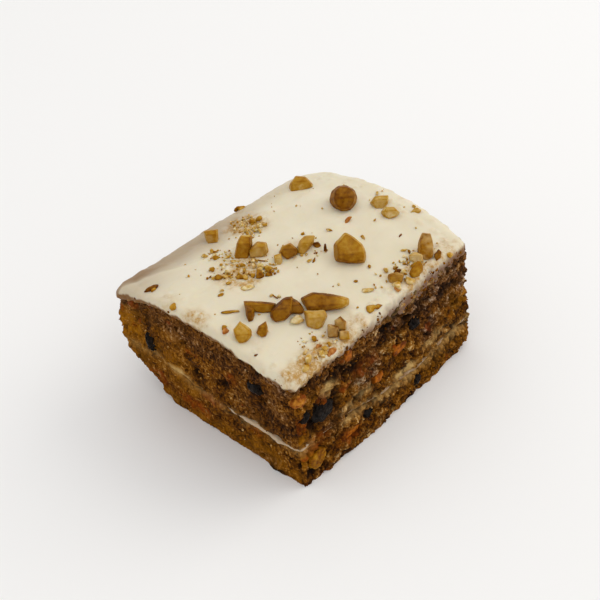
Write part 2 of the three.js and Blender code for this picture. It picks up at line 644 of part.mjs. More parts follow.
// Places a piece in a cut face, its length along the face and its width going inwards.
function inFace(shape, piece, grow, seed) {
  const { first, second, coordinate } = piece.face;
  const start = edgeAt(UPRIGHT_EDGES[first], piece.z);
  const end = edgeAt(UPRIGHT_EDGES[second], piece.z);
  const share = (piece.at - start[coordinate]) / (end[coordinate] - start[coordinate]);
  const place = start.clone().lerp(end, share);
  const direction = end.sub(start).normalize();
  const geometry = shape(piece, grow, seed);
  geometry.rotateZ(direction.angle());
  return geometry.translate(
    place.x + direction.y * piece.proud,
    place.y - direction.x * piece.proud,
    piece.z,
  );
}

const kind = (look, shape, pieces, firstSeed, firstNumber = 1) =>
  pieces.map((piece, k) => ({
    name: `${look}_${firstNumber + k}`,
    look,
    solid: (grow) => solidOf(inFace(shape, piece, grow, firstSeed + k)),
  }));

const inclusions = [
  ...kind('raisin', puckeredSolid, RAISINS, 40),
  ...kind('sultana', puckeredSolid, SULTANAS, 50),
  ...kind('carrot', choppedSolid, CARROTS, 60),
  ...kind('walnut', choppedSolid, SUNK_WALNUTS, 70, WALNUTS.length + 1),
];

// ---------------------------------------------------------------- the four layers

const creamBottom = (x, y) => creamHeight(x, y) - creamThickness(x, y) / 2;
const creamTop = (x, y) => creamHeight(x, y) + creamThickness(x, y) / 2;
const frostingFoot = (x, y) => spongeTop(x, y) + FIT_GAP;

// Heights near the middle of each layer, at which the outline guides its rings.
const CREAM_LEVEL = 13;
const FROSTING_LEVEL = 36;

// Rings of the faces that lie on each other. Neighbours share them, so they stay parallel.
const BASE_SHARES = [0];
const CREAM_SHARES = [0, 0.55, 0.93];
const CROWN_SHARES = [0, 0.6, 0.95];

const lowerSponge = spongeLayer({
  bottom: () => 0,
  top: (x, y) => creamBottom(x, y) - FIT_GAP,
  bottomZ: 0,
  topZ: CREAM_LEVEL,
  bottomShares: BASE_SHARES,
  topShares: CREAM_SHARES,
  sideShares: steps(4),
});

const upperSponge = spongeLayer({
  bottom: (x, y) => creamTop(x, y) + FIT_GAP,
  top: spongeTop,
  bottomZ: CREAM_LEVEL,
  topZ: FROSTING_LEVEL,
  bottomShares: CREAM_SHARES,
  topShares: CROWN_SHARES,
  sideShares: steps(7),
});

// The cream stands back from the faces, more in some places than in others.
function creamRim(height) {
  return (u) => {
    const guide = outlineAt(u, CREAM_LEVEL);
    const setBack = 0.7 - 0.4 * Math.sin(4 * FULL_TURN * u + 0.7) * Math.sin(9 * FULL_TURN * u);
    const { x, y } = sidePoint(u, height(guide.x, guide.y), -setBack);
    return [x, y, height(x, y)];
  };
}

const cream = ringBody([
  ...faceRings(CREAM_SHARES, CREAM_LEVEL, creamTop),
  creamRim(creamTop),
  creamRim(creamBottom),
  ...faceRings([...CREAM_SHARES].reverse(), CREAM_LEVEL, creamBottom),
]);

// How far the frosting rounds in at its rim, side by side in the order long face, right,
// back, short face, and blended round the corners.
const RIM_ROUNDINGS = [3.2, 4.5, 6.5, 2.0];
const CORNER_BLEND = 0.16;

function rimRound(u) {
  const turn = frac(u) * 4;
  const side = Math.floor(turn);
  const t = turn - side;
  const own = RIM_ROUNDINGS[side];
  const previous = RIM_ROUNDINGS[(side + 3) % 4];
  const following = RIM_ROUNDINGS[(side + 1) % 4];
  if (t < 0.5) return mix(previous, own, 0.5 + 0.5 * ease(t / CORNER_BLEND));
  return mix(own, following, 0.5 * ease((t - 1 + CORNER_BLEND) / CORNER_BLEND));
}

// The outermost line of the frosting, which ripples a little along the rim.
function frostingRim(u) {
  const foot = outlineAt(u, FROSTING_LEVEL);
  const ripple = FROSTING.ripple * Math.sin(7 * FULL_TURN * u) * Math.sin(15 * FULL_TURN * u + 1);
  return sidePoint(u, frostingFoot(foot.x, foot.y), FROSTING.lip + ripple);
}

const drawnIn = (point, inset) => point.clone().lerp(CENTRE, inset / MEAN_REACH);

// A ring of the frosting's rim, a share of the way from its foot to the flat top, on a
// quarter of a squared ellipse.
function rimRing(share) {
  return (u) => {
    const rim = frostingRim(u);
    const angle = (share * Math.PI) / 2;
    const point = drawnIn(rim, rimRound(u) * (1 - Math.cos(angle) ** 0.9));
    const inner = drawnIn(rim, rimRound(u));
    const height = Math.sin(angle) ** 0.85;
    return [point.x, point.y, mix(frostingFoot(rim.x, rim.y), frostingTop(inner.x, inner.y), height)];
  };
}

function topRing(share) {
  return (u) => {
    const { x, y } = CENTRE.clone().lerp(drawnIn(frostingRim(u), rimRound(u)), share);
    return [x, y, frostingTop(x, y)];
  };
}

const frostingSlab = ringBody([
  ...[0, 0.2, 0.4, 0.6, 0.8].map(topRing),
  ...[1, 0.72, 0.44, 0.18, 0].map(rimRing),
  ...faceRings([...CROWN_SHARES].reverse(), FROSTING_LEVEL, frostingFoot),
]);

// ---------------------------------------------------------------- scene graph

const FINISHES = {
  sponge: { color: 0x8a5a2b, roughness: 0.92, metalness: 0 },
  cream: { color: 0xe4d9bd, roughness: 0.6, metalness: 0 },
  frosting: { color: 0xe9e0c6, roughness: 0.5, metalness: 0 },
  walnut: { color: 0xa9783a, roughness: 0.75, metalness: 0 },
  raisin: { color: 0x1d1410, roughness: 0.45, metalness: 0 },
  sultana: { color: 0x9c5a1c, roughness: 0.45, metalness: 0 },
  carrot: { color: 0xb5521b, roughness: 0.6, metalness: 0 },
};
const POCKET_GAP = FIT_GAP + 0.15;

const group = new THREE.Group();
group.position.set(-MIDDLE.x, -MIDDLE.y, 0);

function addMesh(name, solid, look) {
  const material = new THREE.MeshStandardMaterial(FINISHES[look]);
  const mesh = new THREE.Mesh(geometryOf(solid), material);
  mesh.name = name;
  group.add(mesh);
}

const sunken = inclusions.map((inclusion) => inclusion.solid(POCKET_GAP));
addMesh('lower_sponge', cutAll(solidOf(lowerSponge), sunken), 'sponge');
addMesh('cream_filling', cutAll(solidOf(cream), sunken), 'cream');
addMesh('upper_sponge', cutAll(solidOf(upperSponge), sunken), 'sponge');

const pockets = WALNUTS.map((blocks) => walnutSolid(blocks, POCKET_GAP));
const chips = CHIPS.filter(({ x, y, length }) => clearOfWalnuts(x, y, length / 2)).map(chipSolid);
const toppings = [...chips, ...crumbPlaces().map(crumbSolid)];
addMesh('frosting', cutAll(addAll(solidOf(frostingSlab), toppings), pockets), 'frosting');

WALNUTS.forEach((blocks, k) => addMesh(`walnut_${k + 1}`, fittedWalnut(blocks), 'walnut'));
inclusions.forEach(({ name, look, solid }) => addMesh(name, solid(0), look));

export default group;
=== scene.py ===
"""A square-cut slice of carrot cake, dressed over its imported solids.

The forms repeat the formulas of the solids at a finer grain: upright edges that lean in
towards the base, a loaf-like crown, cream that climbs to the left edge and frosting that
rounds over the rim. Sizes are in millimetres in the slice's own plan and become metres in
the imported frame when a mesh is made.
"""

import logging
import math
from abc import ABC, abstractmethod
from collections.abc import Callable, Sequence
from dataclasses import dataclass, field
from enum import Enum
from itertools import product
from typing import Any

import bpy
import numpy as np
from mathutils import Euler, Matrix
from numpy.typing import NDArray


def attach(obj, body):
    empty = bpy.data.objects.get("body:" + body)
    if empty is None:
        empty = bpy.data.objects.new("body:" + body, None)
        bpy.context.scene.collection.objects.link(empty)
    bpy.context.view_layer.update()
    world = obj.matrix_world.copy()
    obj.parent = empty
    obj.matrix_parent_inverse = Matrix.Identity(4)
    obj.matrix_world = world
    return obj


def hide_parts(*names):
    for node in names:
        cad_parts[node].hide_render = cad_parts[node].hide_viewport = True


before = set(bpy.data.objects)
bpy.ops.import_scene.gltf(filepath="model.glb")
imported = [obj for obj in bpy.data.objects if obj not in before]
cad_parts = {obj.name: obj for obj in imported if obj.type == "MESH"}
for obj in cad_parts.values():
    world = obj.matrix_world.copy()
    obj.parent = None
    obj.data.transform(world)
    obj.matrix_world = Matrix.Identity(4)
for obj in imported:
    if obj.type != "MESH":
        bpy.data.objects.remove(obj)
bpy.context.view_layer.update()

Array = NDArray[np.float64]
Knots = tuple[tuple[float, ...], ...]    # rows of numbers, most with a place first
Stops = tuple[tuple[float, str], ...]    # places and sRGB colours of a ramp
Index = NDArray[np.int64]
Object = bpy.types.Object
Socket = bpy.types.NodeSocket
log = logging.getLogger("carrot_cake_slice")

MILLIMETRE = 0.001
MIDDLE = (-1.0, 0.3)     # middle of the slice in its own plan, which is the frame's origin
FULL_TURN = 2 * math.pi
SINE_STEPS = (12.9898, 78.233)
SINE_HEIGHT = 43758.5453


class Side(Enum):
    """The four sides, in the order that the outline runs anticlockwise from above."""

    LONG = 0
    RIGHT = 1
    BACK = 2
    SHORT = 3


class Slot(Enum):
    """The record's material slots."""

    SPONGE = "sponge"
    CREAM = "cream"
    FROSTING = "frosting"
    WALNUT = "walnut"
    RAISIN = "raisin"
    SULTANA = "sultana"
    CARROT = "carrot"


# -------- small functions


def ease(t: Array | float) -> Array:
    """Smooth step: 3t² - 2t³ between 0 and 1, level outside."""
    c = np.clip(t, 0.0, 1.0)
    return c * c * (3 - 2 * c)


def mix(a: Array | float, b: Array | float, t: Array | float) -> Array:
    """Straight line from a to b."""
    return a + (b - a) * t


def scatter(i: Array | float, j: Array | float) -> Array:
    """Repeatable number from 0 to 1 for a pair: the fraction of a large sine."""
    return (np.sin(i * SINE_STEPS[0] + j * SINE_STEPS[1]) * SINE_HEIGHT) % 1.0


def between(knots: Knots, place: Array, column: int = 1) -> Array:
    """Straight lines between knots: their places are column 0, their values another."""
    rows = np.array(knots)
    return np.interp(place, rows[:, 0], rows[:, column])


def side_number(u: Array) -> Array:
    """Number of the side at each share of the way round, a quarter to each side."""
    return np.minimum(3, np.floor(4 * (u % 1.0)))


def linear(colour: str) -> tuple[float, float, float, float]:
    """Turns an sRGB hex colour into linear red, green, blue and alpha.

    Dark values are divided by 12.92. The others are moved by 0.055 and raised to 2.4.

    Args:
        colour: a hash and six digits.

    Returns:
        The four linear values, with alpha 1.
    """
    parts = [int(colour[k : k + 2], 16) / 255 for k in (1, 3, 5)]
    straight = [c / 12.92 if c <= 0.04045 else ((c + 0.055) / 1.055) ** 2.4 for c in parts]
    return (*straight, 1.0)


def per_metre(millimetres: float) -> float:
    """Texture scale at which one feature of a pattern is that many millimetres wide."""
    return 1 / (millimetres * MILLIMETRE)


# -------- noise on whole arrays

HASH_STEPS = (73856093, 19349663, 83492791, 2654435761)
HASH_MIX = 1274126177
WORD = 0xFFFFFFFF


def lattice(cell: Index, salt: int) -> Array:
    """Random number from 0 to 1 for each lattice cell.

    The three indices are multiplied by large primes, joined by exclusive or, and mixed.

    Args:
        cell: integer cell indices, the last axis of length 3.
        salt: picks one of many independent sets of numbers.

    Returns:
        One number for each cell.
    """
    x, y, z, s = HASH_STEPS
    mixed = (cell[..., 0] * x) ^ (cell[..., 1] * y) ^ (cell[..., 2] * z) ^ (salt * s)
    mixed = mixed & WORD
    mixed = ((mixed ^ (mixed >> 13)) * HASH_MIX) & WORD
    return (mixed ^ (mixed >> 16)) / (WORD + 1)


def smooth_noise(points: Array, cell: float, salt: int) -> Array:
    """Value noise from -1 to 1: lattice numbers blended with a smooth step on each axis.

    Args:
        points: places in mm, the last axis of length 3.
        cell: lattice spacing in mm.
        salt: which noise.

    Returns:
        One value for each point.
    """
    scaled = points / cell
    base = np.floor(scaled).astype(np.int64)
    weight = ease(scaled - base)
    total = np.zeros(points.shape[:-1])
    for corner in product((0, 1), repeat=3):
        step = np.array(corner)
        share = np.prod(np.where(step == 1, weight, 1 - weight), axis=-1)
        total += share * lattice(base + step, salt)
    return 2 * total - 1


def rough_noise(points: Array, cell: float, salt: int, octaves: int = 3) -> Array:
    """Sum of smooth noises, each with half the cell and half the height of the last."""
    parts = [smooth_noise(points, cell / 2**k, salt + 31 * k) / 2**k for k in range(octaves)]
    return np.sum(parts, axis=0)


def cells(points: Array, cell: float, salt: int) -> tuple[Array, Array, Array]:
    """Cell noise: how far each point is from the nearest two of a jittered lattice.

    Args:
        points: places in mm, the last axis of length 3.
        cell: lattice spacing in mm.
        salt: which noise.

    Returns:
        Nearest and second nearest distance in cells, and the nearest one's own number.
    """
    scaled = points / cell
    base = np.floor(scaled).astype(np.int64)
    nearest = np.full(points.shape[:-1], np.inf)
    second = nearest.copy()
    number = np.zeros_like(nearest)
    for offset in product((-1, 0, 1), repeat=3):
        home = base + np.array(offset)
        jitter = np.stack([lattice(home, salt + k) for k in (1, 2, 3)], axis=-1)
        apart = np.linalg.norm(home + jitter - scaled, axis=-1)
        closer = apart < nearest
        second = np.where(closer, nearest, np.minimum(second, apart))
        number = np.where(closer, lattice(home, salt + 4), number)
        nearest = np.where(closer, apart, nearest)
    return nearest, second, number


def hollows(points: Array, cell: float, salt: int, widest: float, share: float) -> Array:
    """Depth in mm of round hollows: a sphere of seeded radius in some cells of a lattice.

    Args:
        points: places in mm, the last axis of length 3.
        cell: lattice spacing in mm.
        salt: which noise.
        widest: largest radius in mm.
        share: share of the cells that have a hollow.

    Returns:
        Depth of the sphere's wall below the surface, 0 outside every sphere.
    """
    nearest, _, number = cells(points, cell, salt)
    radius = widest * np.clip((number - 1 + share) / share, 0.0, 1.0)
    return np.sqrt(np.clip(radius**2 - (nearest * cell) ** 2, 0.0, None))


# -------- meshes


def place_in_frame(points: Array) -> Array:
    """Moves points from the slice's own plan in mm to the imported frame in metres."""
    return (points - np.array([*MIDDLE, 0.0])) * MILLIMETRE


def linked(name: str, data: bpy.types.ID) -> Object:
    """Makes an object from a mesh, lamp or camera and links it to the scene.

    Args:
        name: the object's name.
        data: what it shows.

    Returns:
        The new object, at the origin.
    """
    made = bpy.data.objects.new(name, data)
    bpy.context.scene.collection.objects.link(made)
    return made


def raised(plan: Array, z: Array) -> Array:
    """Puts plan positions and heights together as places."""
    return np.concatenate([plan, z[..., None]], axis=-1)


def ring_faces(rows: int, columns: int) -> list[Index]:
    """Faces of a closed body whose rings run from the top down, with a pole at each end.

    Vertices are the top pole, the rings row by row, and the bottom pole.

    Args:
        rows: how many rings.
        columns: how many vertices in each ring.

    Returns:
        The quads between rings, then the triangles round the two poles.
    """
    row = np.arange(rows - 1)[:, None] * columns + 1
    here = np.arange(columns)[None, :]
    after = (here + 1) % columns
    quads = np.stack(
        [row + here, row + columns + here, row + columns + after, row + after], axis=-1
    )
    first, last = 1, (rows - 1) * columns + 1
    end = rows * columns + 1
    top = np.stack([np.zeros_like(here), first + here, first + after], axis=-1)
    bottom = np.stack([np.full_like(here, end), last + after, last + here], axis=-1)
    return [quads.reshape(-1, 4), np.concatenate([top[0], bottom[0]])]


def with_poles(rings: Array) -> Array:
    """Flattens (rows, columns, ...) to one row each, with the mean of each end ring as pole."""
    flat = rings.reshape(-1, *rings.shape[2:])
    return np.concatenate([rings[:1].mean(axis=1), flat, rings[-1:].mean(axis=1)])


def ball_directions(rows: int, columns: int) -> Array:
    """Directions from a ball's middle: sine and cosine of equal steps down and round.

    Args:
        rows: how many rings between the poles.
        columns: how many directions in each ring.

    Returns:
        The top pole, the rings from the top down, and the bottom pole, one row for each.
    """
    down = (np.arange(rows) + 0.5) * math.pi / rows
    round_ = np.arange(columns) * FULL_TURN / columns
    level = np.sin(down)[:, None]
    parts = [level * np.cos(round_), level * np.sin(round_), np.cos(down)[:, None] + 0 * round_]
    return with_poles(np.stack(parts, axis=-1))


def turned(axis: int, degrees: float) -> Array:
    """Rotation matrix about one axis.

    Args:
        axis: 0, 1 or 2.
        degrees: how far it turns, anticlockwise.

    Returns:
        The matrix, three by three.
    """
    angles = [0.0, 0.0, 0.0]
    angles[axis] = math.radians(degrees)
    return np.array(Euler(angles).to_matrix())


# -------- nodes


def add_node(
    tree: bpy.types.NodeTree,
    kind: str,
    inputs: dict[str | int, Any] | None = None,
    stops: Stops = (),
    **settings: Any,
) -> bpy.types.Node:
    """Adds a node with its settings, values and links.

    Args:
        tree: the tree that gets it.
        kind: Blender's name for the kind of node.
        inputs: for each input, an output to link or a value to set.
        stops: places and colours of a colour ramp.
        settings: the node's own properties.

    Returns:
        The new node.
    """
    node = tree.nodes.new(kind)
    for name, value in settings.items():
        setattr(node, name, value)
    for key, value in (inputs or {}).items():
        if isinstance(value, Socket):
            tree.links.new(value, node.inputs[key])
        else:
            node.inputs[key].default_value = value
    for k, (place, colour) in enumerate(stops):
        elements = node.color_ramp.elements
        element = elements[k] if k < 2 else elements.new(place)
        element.position = place
        element.color = linear(colour)
    return node


@dataclass(frozen=True)
class Finish(ABC):
    """One finish of the slice: a material with its own nodes."""

    name: str
    slot: Slot
    roughness: float
    shine: float = 0.3           # specular level of the clean, dry surface
    bump: float = 0.5            # strength of the fine bumps
    bump_mm: float = 0.3         # their height
    glow: float = 0.0            # share of the light that gets in and comes out again
    glow_mm: float = 0.0         # how deep it gets
    glow_tint: tuple[float, float, float] = (1.0, 0.6, 0.3)

    def material(self) -> bpy.types.Material:
        """Makes the material on the first call.

        Returns:
            The material, the same one each time.
        """
        made = bpy.data.materials.get(self.name)
        if made is None:
            made = bpy.data.materials.new(self.name)
            made.use_nodes = True
            tree = made.node_tree
            place = add_node(tree, "ShaderNodeTexCoord").outputs["Object"]
            colour, height = self.dress(tree, place)
            bumps = add_node(
                tree, "ShaderNodeBump",
                {"Height": height, "Strength": self.bump, "Distance": self.bump_mm * MILLIMETRE},
            )
            surface = tree.nodes["Principled BSDF"]
            tree.links.new(colour, surface.inputs["Base Color"])
            tree.links.new(bumps.outputs["Normal"], surface.inputs["Normal"])
            surface.inputs["Roughness"].default_value = self.roughness
            surface.inputs["Specular IOR Level"].default_value = self.shine
            if self.glow:
                surface.inputs["Subsurface Weight"].default_value = self.glow
                surface.inputs["Subsurface Radius"].default_value = self.glow_tint
                surface.inputs["Subsurface Scale"].default_value = self.glow_mm * MILLIMETRE
        return made

    @abstractmethod
    def dress(self, tree: bpy.types.NodeTree, place: Socket) -> tuple[Socket, Socket]:
        """Adds the finish's own nodes.

        Args:
            tree: the material's tree.
            place: the piece's own coordinates.

        Returns:
            The colour and the height of the bumps.
        """


@dataclass(frozen=True)
class CrumbFinish(Finish):
    """Moist oil sponge with brown sugar and spice, baked and then cut.

    Cutting opens the bubbles, so thin walls stand beside pores: the walls get painted light and
    the pores painted shade, near-black. Butter and sugar leave ochre and purple-brown patches
    a few millimetres wide.
    """

    name: str = "carrot_sponge_crumb"
    slot: Slot = Slot.SPONGE
    roughness: float = 0.78
    shine: float = 0.06
    bump: float = 0.55
    bump_mm: float = 0.35
    crumb: Stops = (
        (0.10, "#240E01"), (0.34, "#583002"), (0.56, "#7E4A04"), (0.78, "#A6722C"),
        (0.98, "#D8B67C"),
    )
    gold: str = "#AC6E06"
    wet: Stops = (
        (0.10, "#140804"), (0.34, "#36200F"), (0.56, "#5A3C26"), (0.78, "#8E6E56"),
        (0.98, "#C4A890"),
    )
    stain: str = "#903E04"
    pale: str = "#CDA96A"
    # Colour of the painted shade in pores and gaps.
    pore_shade: str = "#0C0300"
    wall_mm: float = 0.75        # thickness of a bubble's wall with its neighbours
    # Painted light and shade: the walls' noise lightens them and darkens the hollows by this much.
    painted_wall_contrast: float = 1.5   # how much lighter a wall is than the hollow behind it
    grain_mm: float = 0.3        # finest crumb that shows

    def dress(self, tree: bpy.types.NodeTree, place: Socket) -> tuple[Socket, Socket]:
        """Mixes crumb colours by the mesh's zones, with painted light on the walls and painted
        shade in the pores, and adds fine bumps.

        Args:
            tree: the material's tree.
            place: the piece's own coordinates.

        Returns:
            The colour and the height of the bumps.
        """
        crumb = add_node(tree, "ShaderNodeAttribute", attribute_name="crumb")
        zones = add_node(tree, "ShaderNodeAttribute", attribute_name="zones")
        parts = add_node(tree, "ShaderNodeSeparateColor", {"Color": crumb.outputs["Color"]})
        area = add_node(tree, "ShaderNodeSeparateColor", {"Color": zones.outputs["Color"]})
        walls = add_node(
            tree, "ShaderNodeTexNoise",
            {"Vector": place, "Scale": per_metre(self.wall_mm), "Detail": 3.0, "Roughness": 0.65},
        )
        grain = add_node(
            tree, "ShaderNodeTexNoise",
            {"Vector": place, "Scale": per_metre(self.grain_mm), "Detail": 2.0},
        )
        # Painted light and shade: the same noise that raises the walls makes them lighter and the
        # hollows darker.
        lit = add_node(
            tree, "ShaderNodeMath",
            {0: walls.outputs["Fac"], 1: self.painted_wall_contrast, 2: -self.painted_wall_contrast / 2},
            operation="MULTIPLY_ADD",
        )
        tone = add_node(
            tree, "ShaderNodeMath", {0: parts.outputs["Red"], 1: lit.outputs[0]}, operation="ADD"
        )
        colour, wet = (
            add_node(
                tree, "ShaderNodeValToRGB", {"Fac": tone.outputs[0]}, stops=stops
            ).outputs["Color"]
            for stops in (self.crumb, self.wet)
        )
        # The last layer is painted shade: near-black in the pores and gaps.
        layers = (
            (area.outputs["Red"], linear(self.gold)),
            (area.outputs["Green"], wet),
            (area.outputs["Blue"], linear(self.stain)),
            (zones.outputs["Alpha"], linear(self.pale)),
            (parts.outputs["Green"], linear(self.pore_shade)),
        )
        for share, hue in layers:
            colour = add_node(
                tree, "ShaderNodeMix", {0: share, 6: colour, 7: hue}, data_type="RGBA"
            ).outputs[2]
        rough = add_node(
            tree, "ShaderNodeMath",
            {0: walls.outputs["Fac"], 1: grain.outputs["Fac"]}, operation="ADD",
        )
        return colour, rough.outputs[0]


@dataclass(frozen=True)
class CreamFinish(Finish):
    """Cream cheese whipped with butter and sugar, and spread.

    It lets a little light in, so its shadows are soft and warm. Spreading leaves a satin
    surface with shallow waves, and crumb rubs off into its edges.
    """

    name: str = "cream_cheese_frosting"
    slot: Slot = Slot.FROSTING
    roughness: float = 0.5
    shine: float = 0.25
    bump: float = 0.25
    glow: float = 0.5
    glow_mm: float = 1.6
    glow_tint: tuple[float, float, float] = (1.0, 0.7, 0.4)
    cream: str = "#E4DAC2"
    deep: str = "#D9CCAC"
    # Plum and ochre also colour the painted shade on the back of the frosting's top.
    plum: str = "#7C5A44"        # stained by the wet crumb under it
    ochre: str = "#7A5018"       # stained by the drier golden crumb
    meal: str = "#B68C46"        # nut meal and crumb dust worked into it
    patch_mm: float = 9.0        # fat and sugar vary over this width
    wave_mm: float = 2.4         # waves that the knife leaves
    meal_mm: float = 0.8         # grains of the meal

    def dress(self, tree: bpy.types.NodeTree, place: Socket) -> tuple[Socket, Socket]:
        """Varies the cream a little, stains it by the mesh's own share, which also carries painted
        shade, and waves it.

        Args:
            tree: the material's tree.
            place: the piece's own coordinates.

        Returns:
            The colour and the height of the bumps.
        """
        stain = add_node(tree, "ShaderNodeAttribute", attribute_name="stain")
        parts = add_node(tree, "ShaderNodeSeparateColor", {"Color": stain.outputs["Color"]})
        patches, waves, grains = (
            add_node(
                tree, "ShaderNodeTexNoise",
                {"Vector": place, "Scale": per_metre(size), "Detail": detail, "Roughness": rough},
            ).outputs["Fac"]
            for size, detail, rough in (
                (self.patch_mm, 3.0, 0.5), (self.wave_mm, 2.0, 0.5), (self.meal_mm, 3.0, 0.7),
            )
        )
        # Steep, so that most grains show in full or not at all.
        grainy = add_node(
            tree, "ShaderNodeMath", {0: grains, 1: 4.0, 2: -1.0}, operation="MULTIPLY_ADD"
        )
        meal = add_node(
            tree, "ShaderNodeMath", {0: grainy.outputs[0], 1: parts.outputs["Blue"]},
            operation="MULTIPLY", use_clamp=True,
        )
        layers = (
            (parts.outputs["Green"], linear(self.plum), linear(self.ochre)),
            (patches, linear(self.cream), linear(self.deep)),
        )
        stained, colour = (
            add_node(
                tree, "ShaderNodeMix", {0: share, 6: first, 7: last}, data_type="RGBA"
            ).outputs[2]
            for share, first, last in layers
        )
        # The stained colour is crumb stain, and painted shade where the mesh's share puts it on the
        # back.
        for share, hue in (
            (meal.outputs[0], linear(self.meal)),
            (parts.outputs["Red"], stained),
        ):
            colour = add_node(
                tree, "ShaderNodeMix", {0: share, 6: colour, 7: hue}, data_type="RGBA"
            ).outputs[2]
        return colour, waves


@dataclass(frozen=True)
class WalnutFinish(Finish):
    """Walnut kernel, roasted and chopped with a knife.

    A chopped face is oily tan flesh, and what is left of the thin skin is golden brown to
    dark brown. Roasting darkens the arrises. Cream clings to pieces that were pushed about.
    """

    name: str = "chopped_walnut"
    slot: Slot = Slot.WALNUT
    roughness: float = 0.5
    shine: float = 0.06
    glow: float = 0.25
    glow_mm: float = 0.7
    glow_tint: tuple[float, float, float] = (1.0, 0.5, 0.2)
    nut: Stops = (
        (0.00, "#582A00"), (0.20, "#7C4A04"), (0.40, "#9C680C"), (0.62, "#B48626"),
        (0.82, "#C8A45C"), (1.00, "#E2D0A0"),
    )
    cream: str = "#C8A668"
    grain_mm: float = 1.1
    grain_contrast: float = 0.5

    def dress(self, tree: bpy.types.NodeTree, place: Socket) -> tuple[Socket, Socket]:
        """Colours by the mesh's own tone, broken up by grain, with fine bumps.

        Args:
            tree: the material's tree.
            place: the piece's own coordinates.

        Returns:
            The colour and the height of the bumps.
        """
        tone = add_node(tree, "ShaderNodeAttribute", attribute_name="tone")
        grain = add_node(
            tree, "ShaderNodeTexNoise",
            {"Vector": place, "Scale": per_metre(self.grain_mm), "Detail": 5.0, "Roughness": 0.6},
        )
        shift = add_node(
            tree, "ShaderNodeMath",
            {0: grain.outputs["Fac"], 1: self.grain_contrast, 2: -self.grain_contrast / 2},
            operation="MULTIPLY_ADD",
        )
        level = add_node(
            tree, "ShaderNodeMath", {0: tone.outputs["Fac"], 1: shift.outputs[0]}, operation="ADD"
        )
        kernel = add_node(tree, "ShaderNodeValToRGB", {"Fac": level.outputs[0]}, stops=self.nut)
        coat = add_node(tree, "ShaderNodeAttribute", attribute_name="coat")
        colour = add_node(
            tree, "ShaderNodeMix",
            {0: coat.outputs["Fac"], 6: kernel.outputs["Color"], 7: linear(self.cream)},
            data_type="RGBA",
        )
        return colour.outputs[2], grain.outputs["Fac"]


@dataclass(frozen=True)
class FruitFinish(Finish):
    """Moist fruit or root in the crumb: dried grape, or carrot grated and baked soft.

    Sugar and water on it give small wet highlights, and its folds are painted darker as
    shade by the same noise that raises the bumps.
    """

    name: str = "raisin_skin"
    slot: Slot = Slot.RAISIN
    roughness: float = 0.42
    shine: float = 0.07
    bump: float = 0.6
    bump_mm: float = 0.6         # its wrinkles
    dark: str = "#040201"
    light: str = "#241A12"
    patch_mm: float = 1.4

    def dress(self, tree: bpy.types.NodeTree, place: Socket) -> tuple[Socket, Socket]:
        """Mottles between the dark and light colours, with soft bumps; the low parts of the bumps
        get the dark colour, as painted shade in the folds.

        Args:
            tree: the material's tree.
            place: the piece's own coordinates.

        Returns:
            The colour and the height of the bumps.
        """
        patches = add_node(
            tree, "ShaderNodeTexNoise",
            {"Vector": place, "Scale": per_metre(self.patch_mm), "Detail": 4.0},
        )
        # Painted shade: the same noise darkens the colour where the bumps are low.
        colour = add_node(
            tree, "ShaderNodeValToRGB", {"Fac": patches.outputs["Fac"]},
            stops=((0.38, self.dark), (0.66, self.light)),
        )
        return colour.outputs["Color"], patches.outputs["Fac"]


SPONGE_CRUMB = CrumbFinish()
FROSTING_CREAM = CreamFinish()
FILLING_CREAM = CreamFinish(
    name="cream_filling", slot=Slot.CREAM, cream="#C8B298", deep="#B8A080", plum="#6E4E2C",
    ochre="#845C26", glow_mm=0.8,
)
WALNUT = WalnutFinish()
RAISIN_SKIN = FruitFinish(bump=0.9)
SULTANA_SKIN = FruitFinish(
    name="sultana_skin", slot=Slot.SULTANA, dark="#84400A", light="#C07C26",
)
CARROT_SHRED = FruitFinish(
    name="baked_carrot", slot=Slot.CARROT, roughness=0.55, shine=0.08, dark="#5E2A02",
    light="#B4640C",
)
CARROT_CHIP = FruitFinish(
    name="carrot_chip", slot=Slot.CARROT, roughness=0.55, shine=0.08, dark="#944E0E",
    light="#C88A48",
)


# -------- form of the slice


@dataclass(frozen=True)
class UprightEdge:
    """One upright edge of the slice, as a line of places from the base up."""

    radius: float
    heights: tuple[float, ...]
    along_x: tuple[float, ...]
    along_y: tuple[float, ...]

    def at(self, z: Array) -> Array:
        """Plan position at each height."""
        x = np.interp(z, self.heights, self.along_x)
        return np.stack([x, np.interp(z, self.heights, self.along_y)], axis=-1)


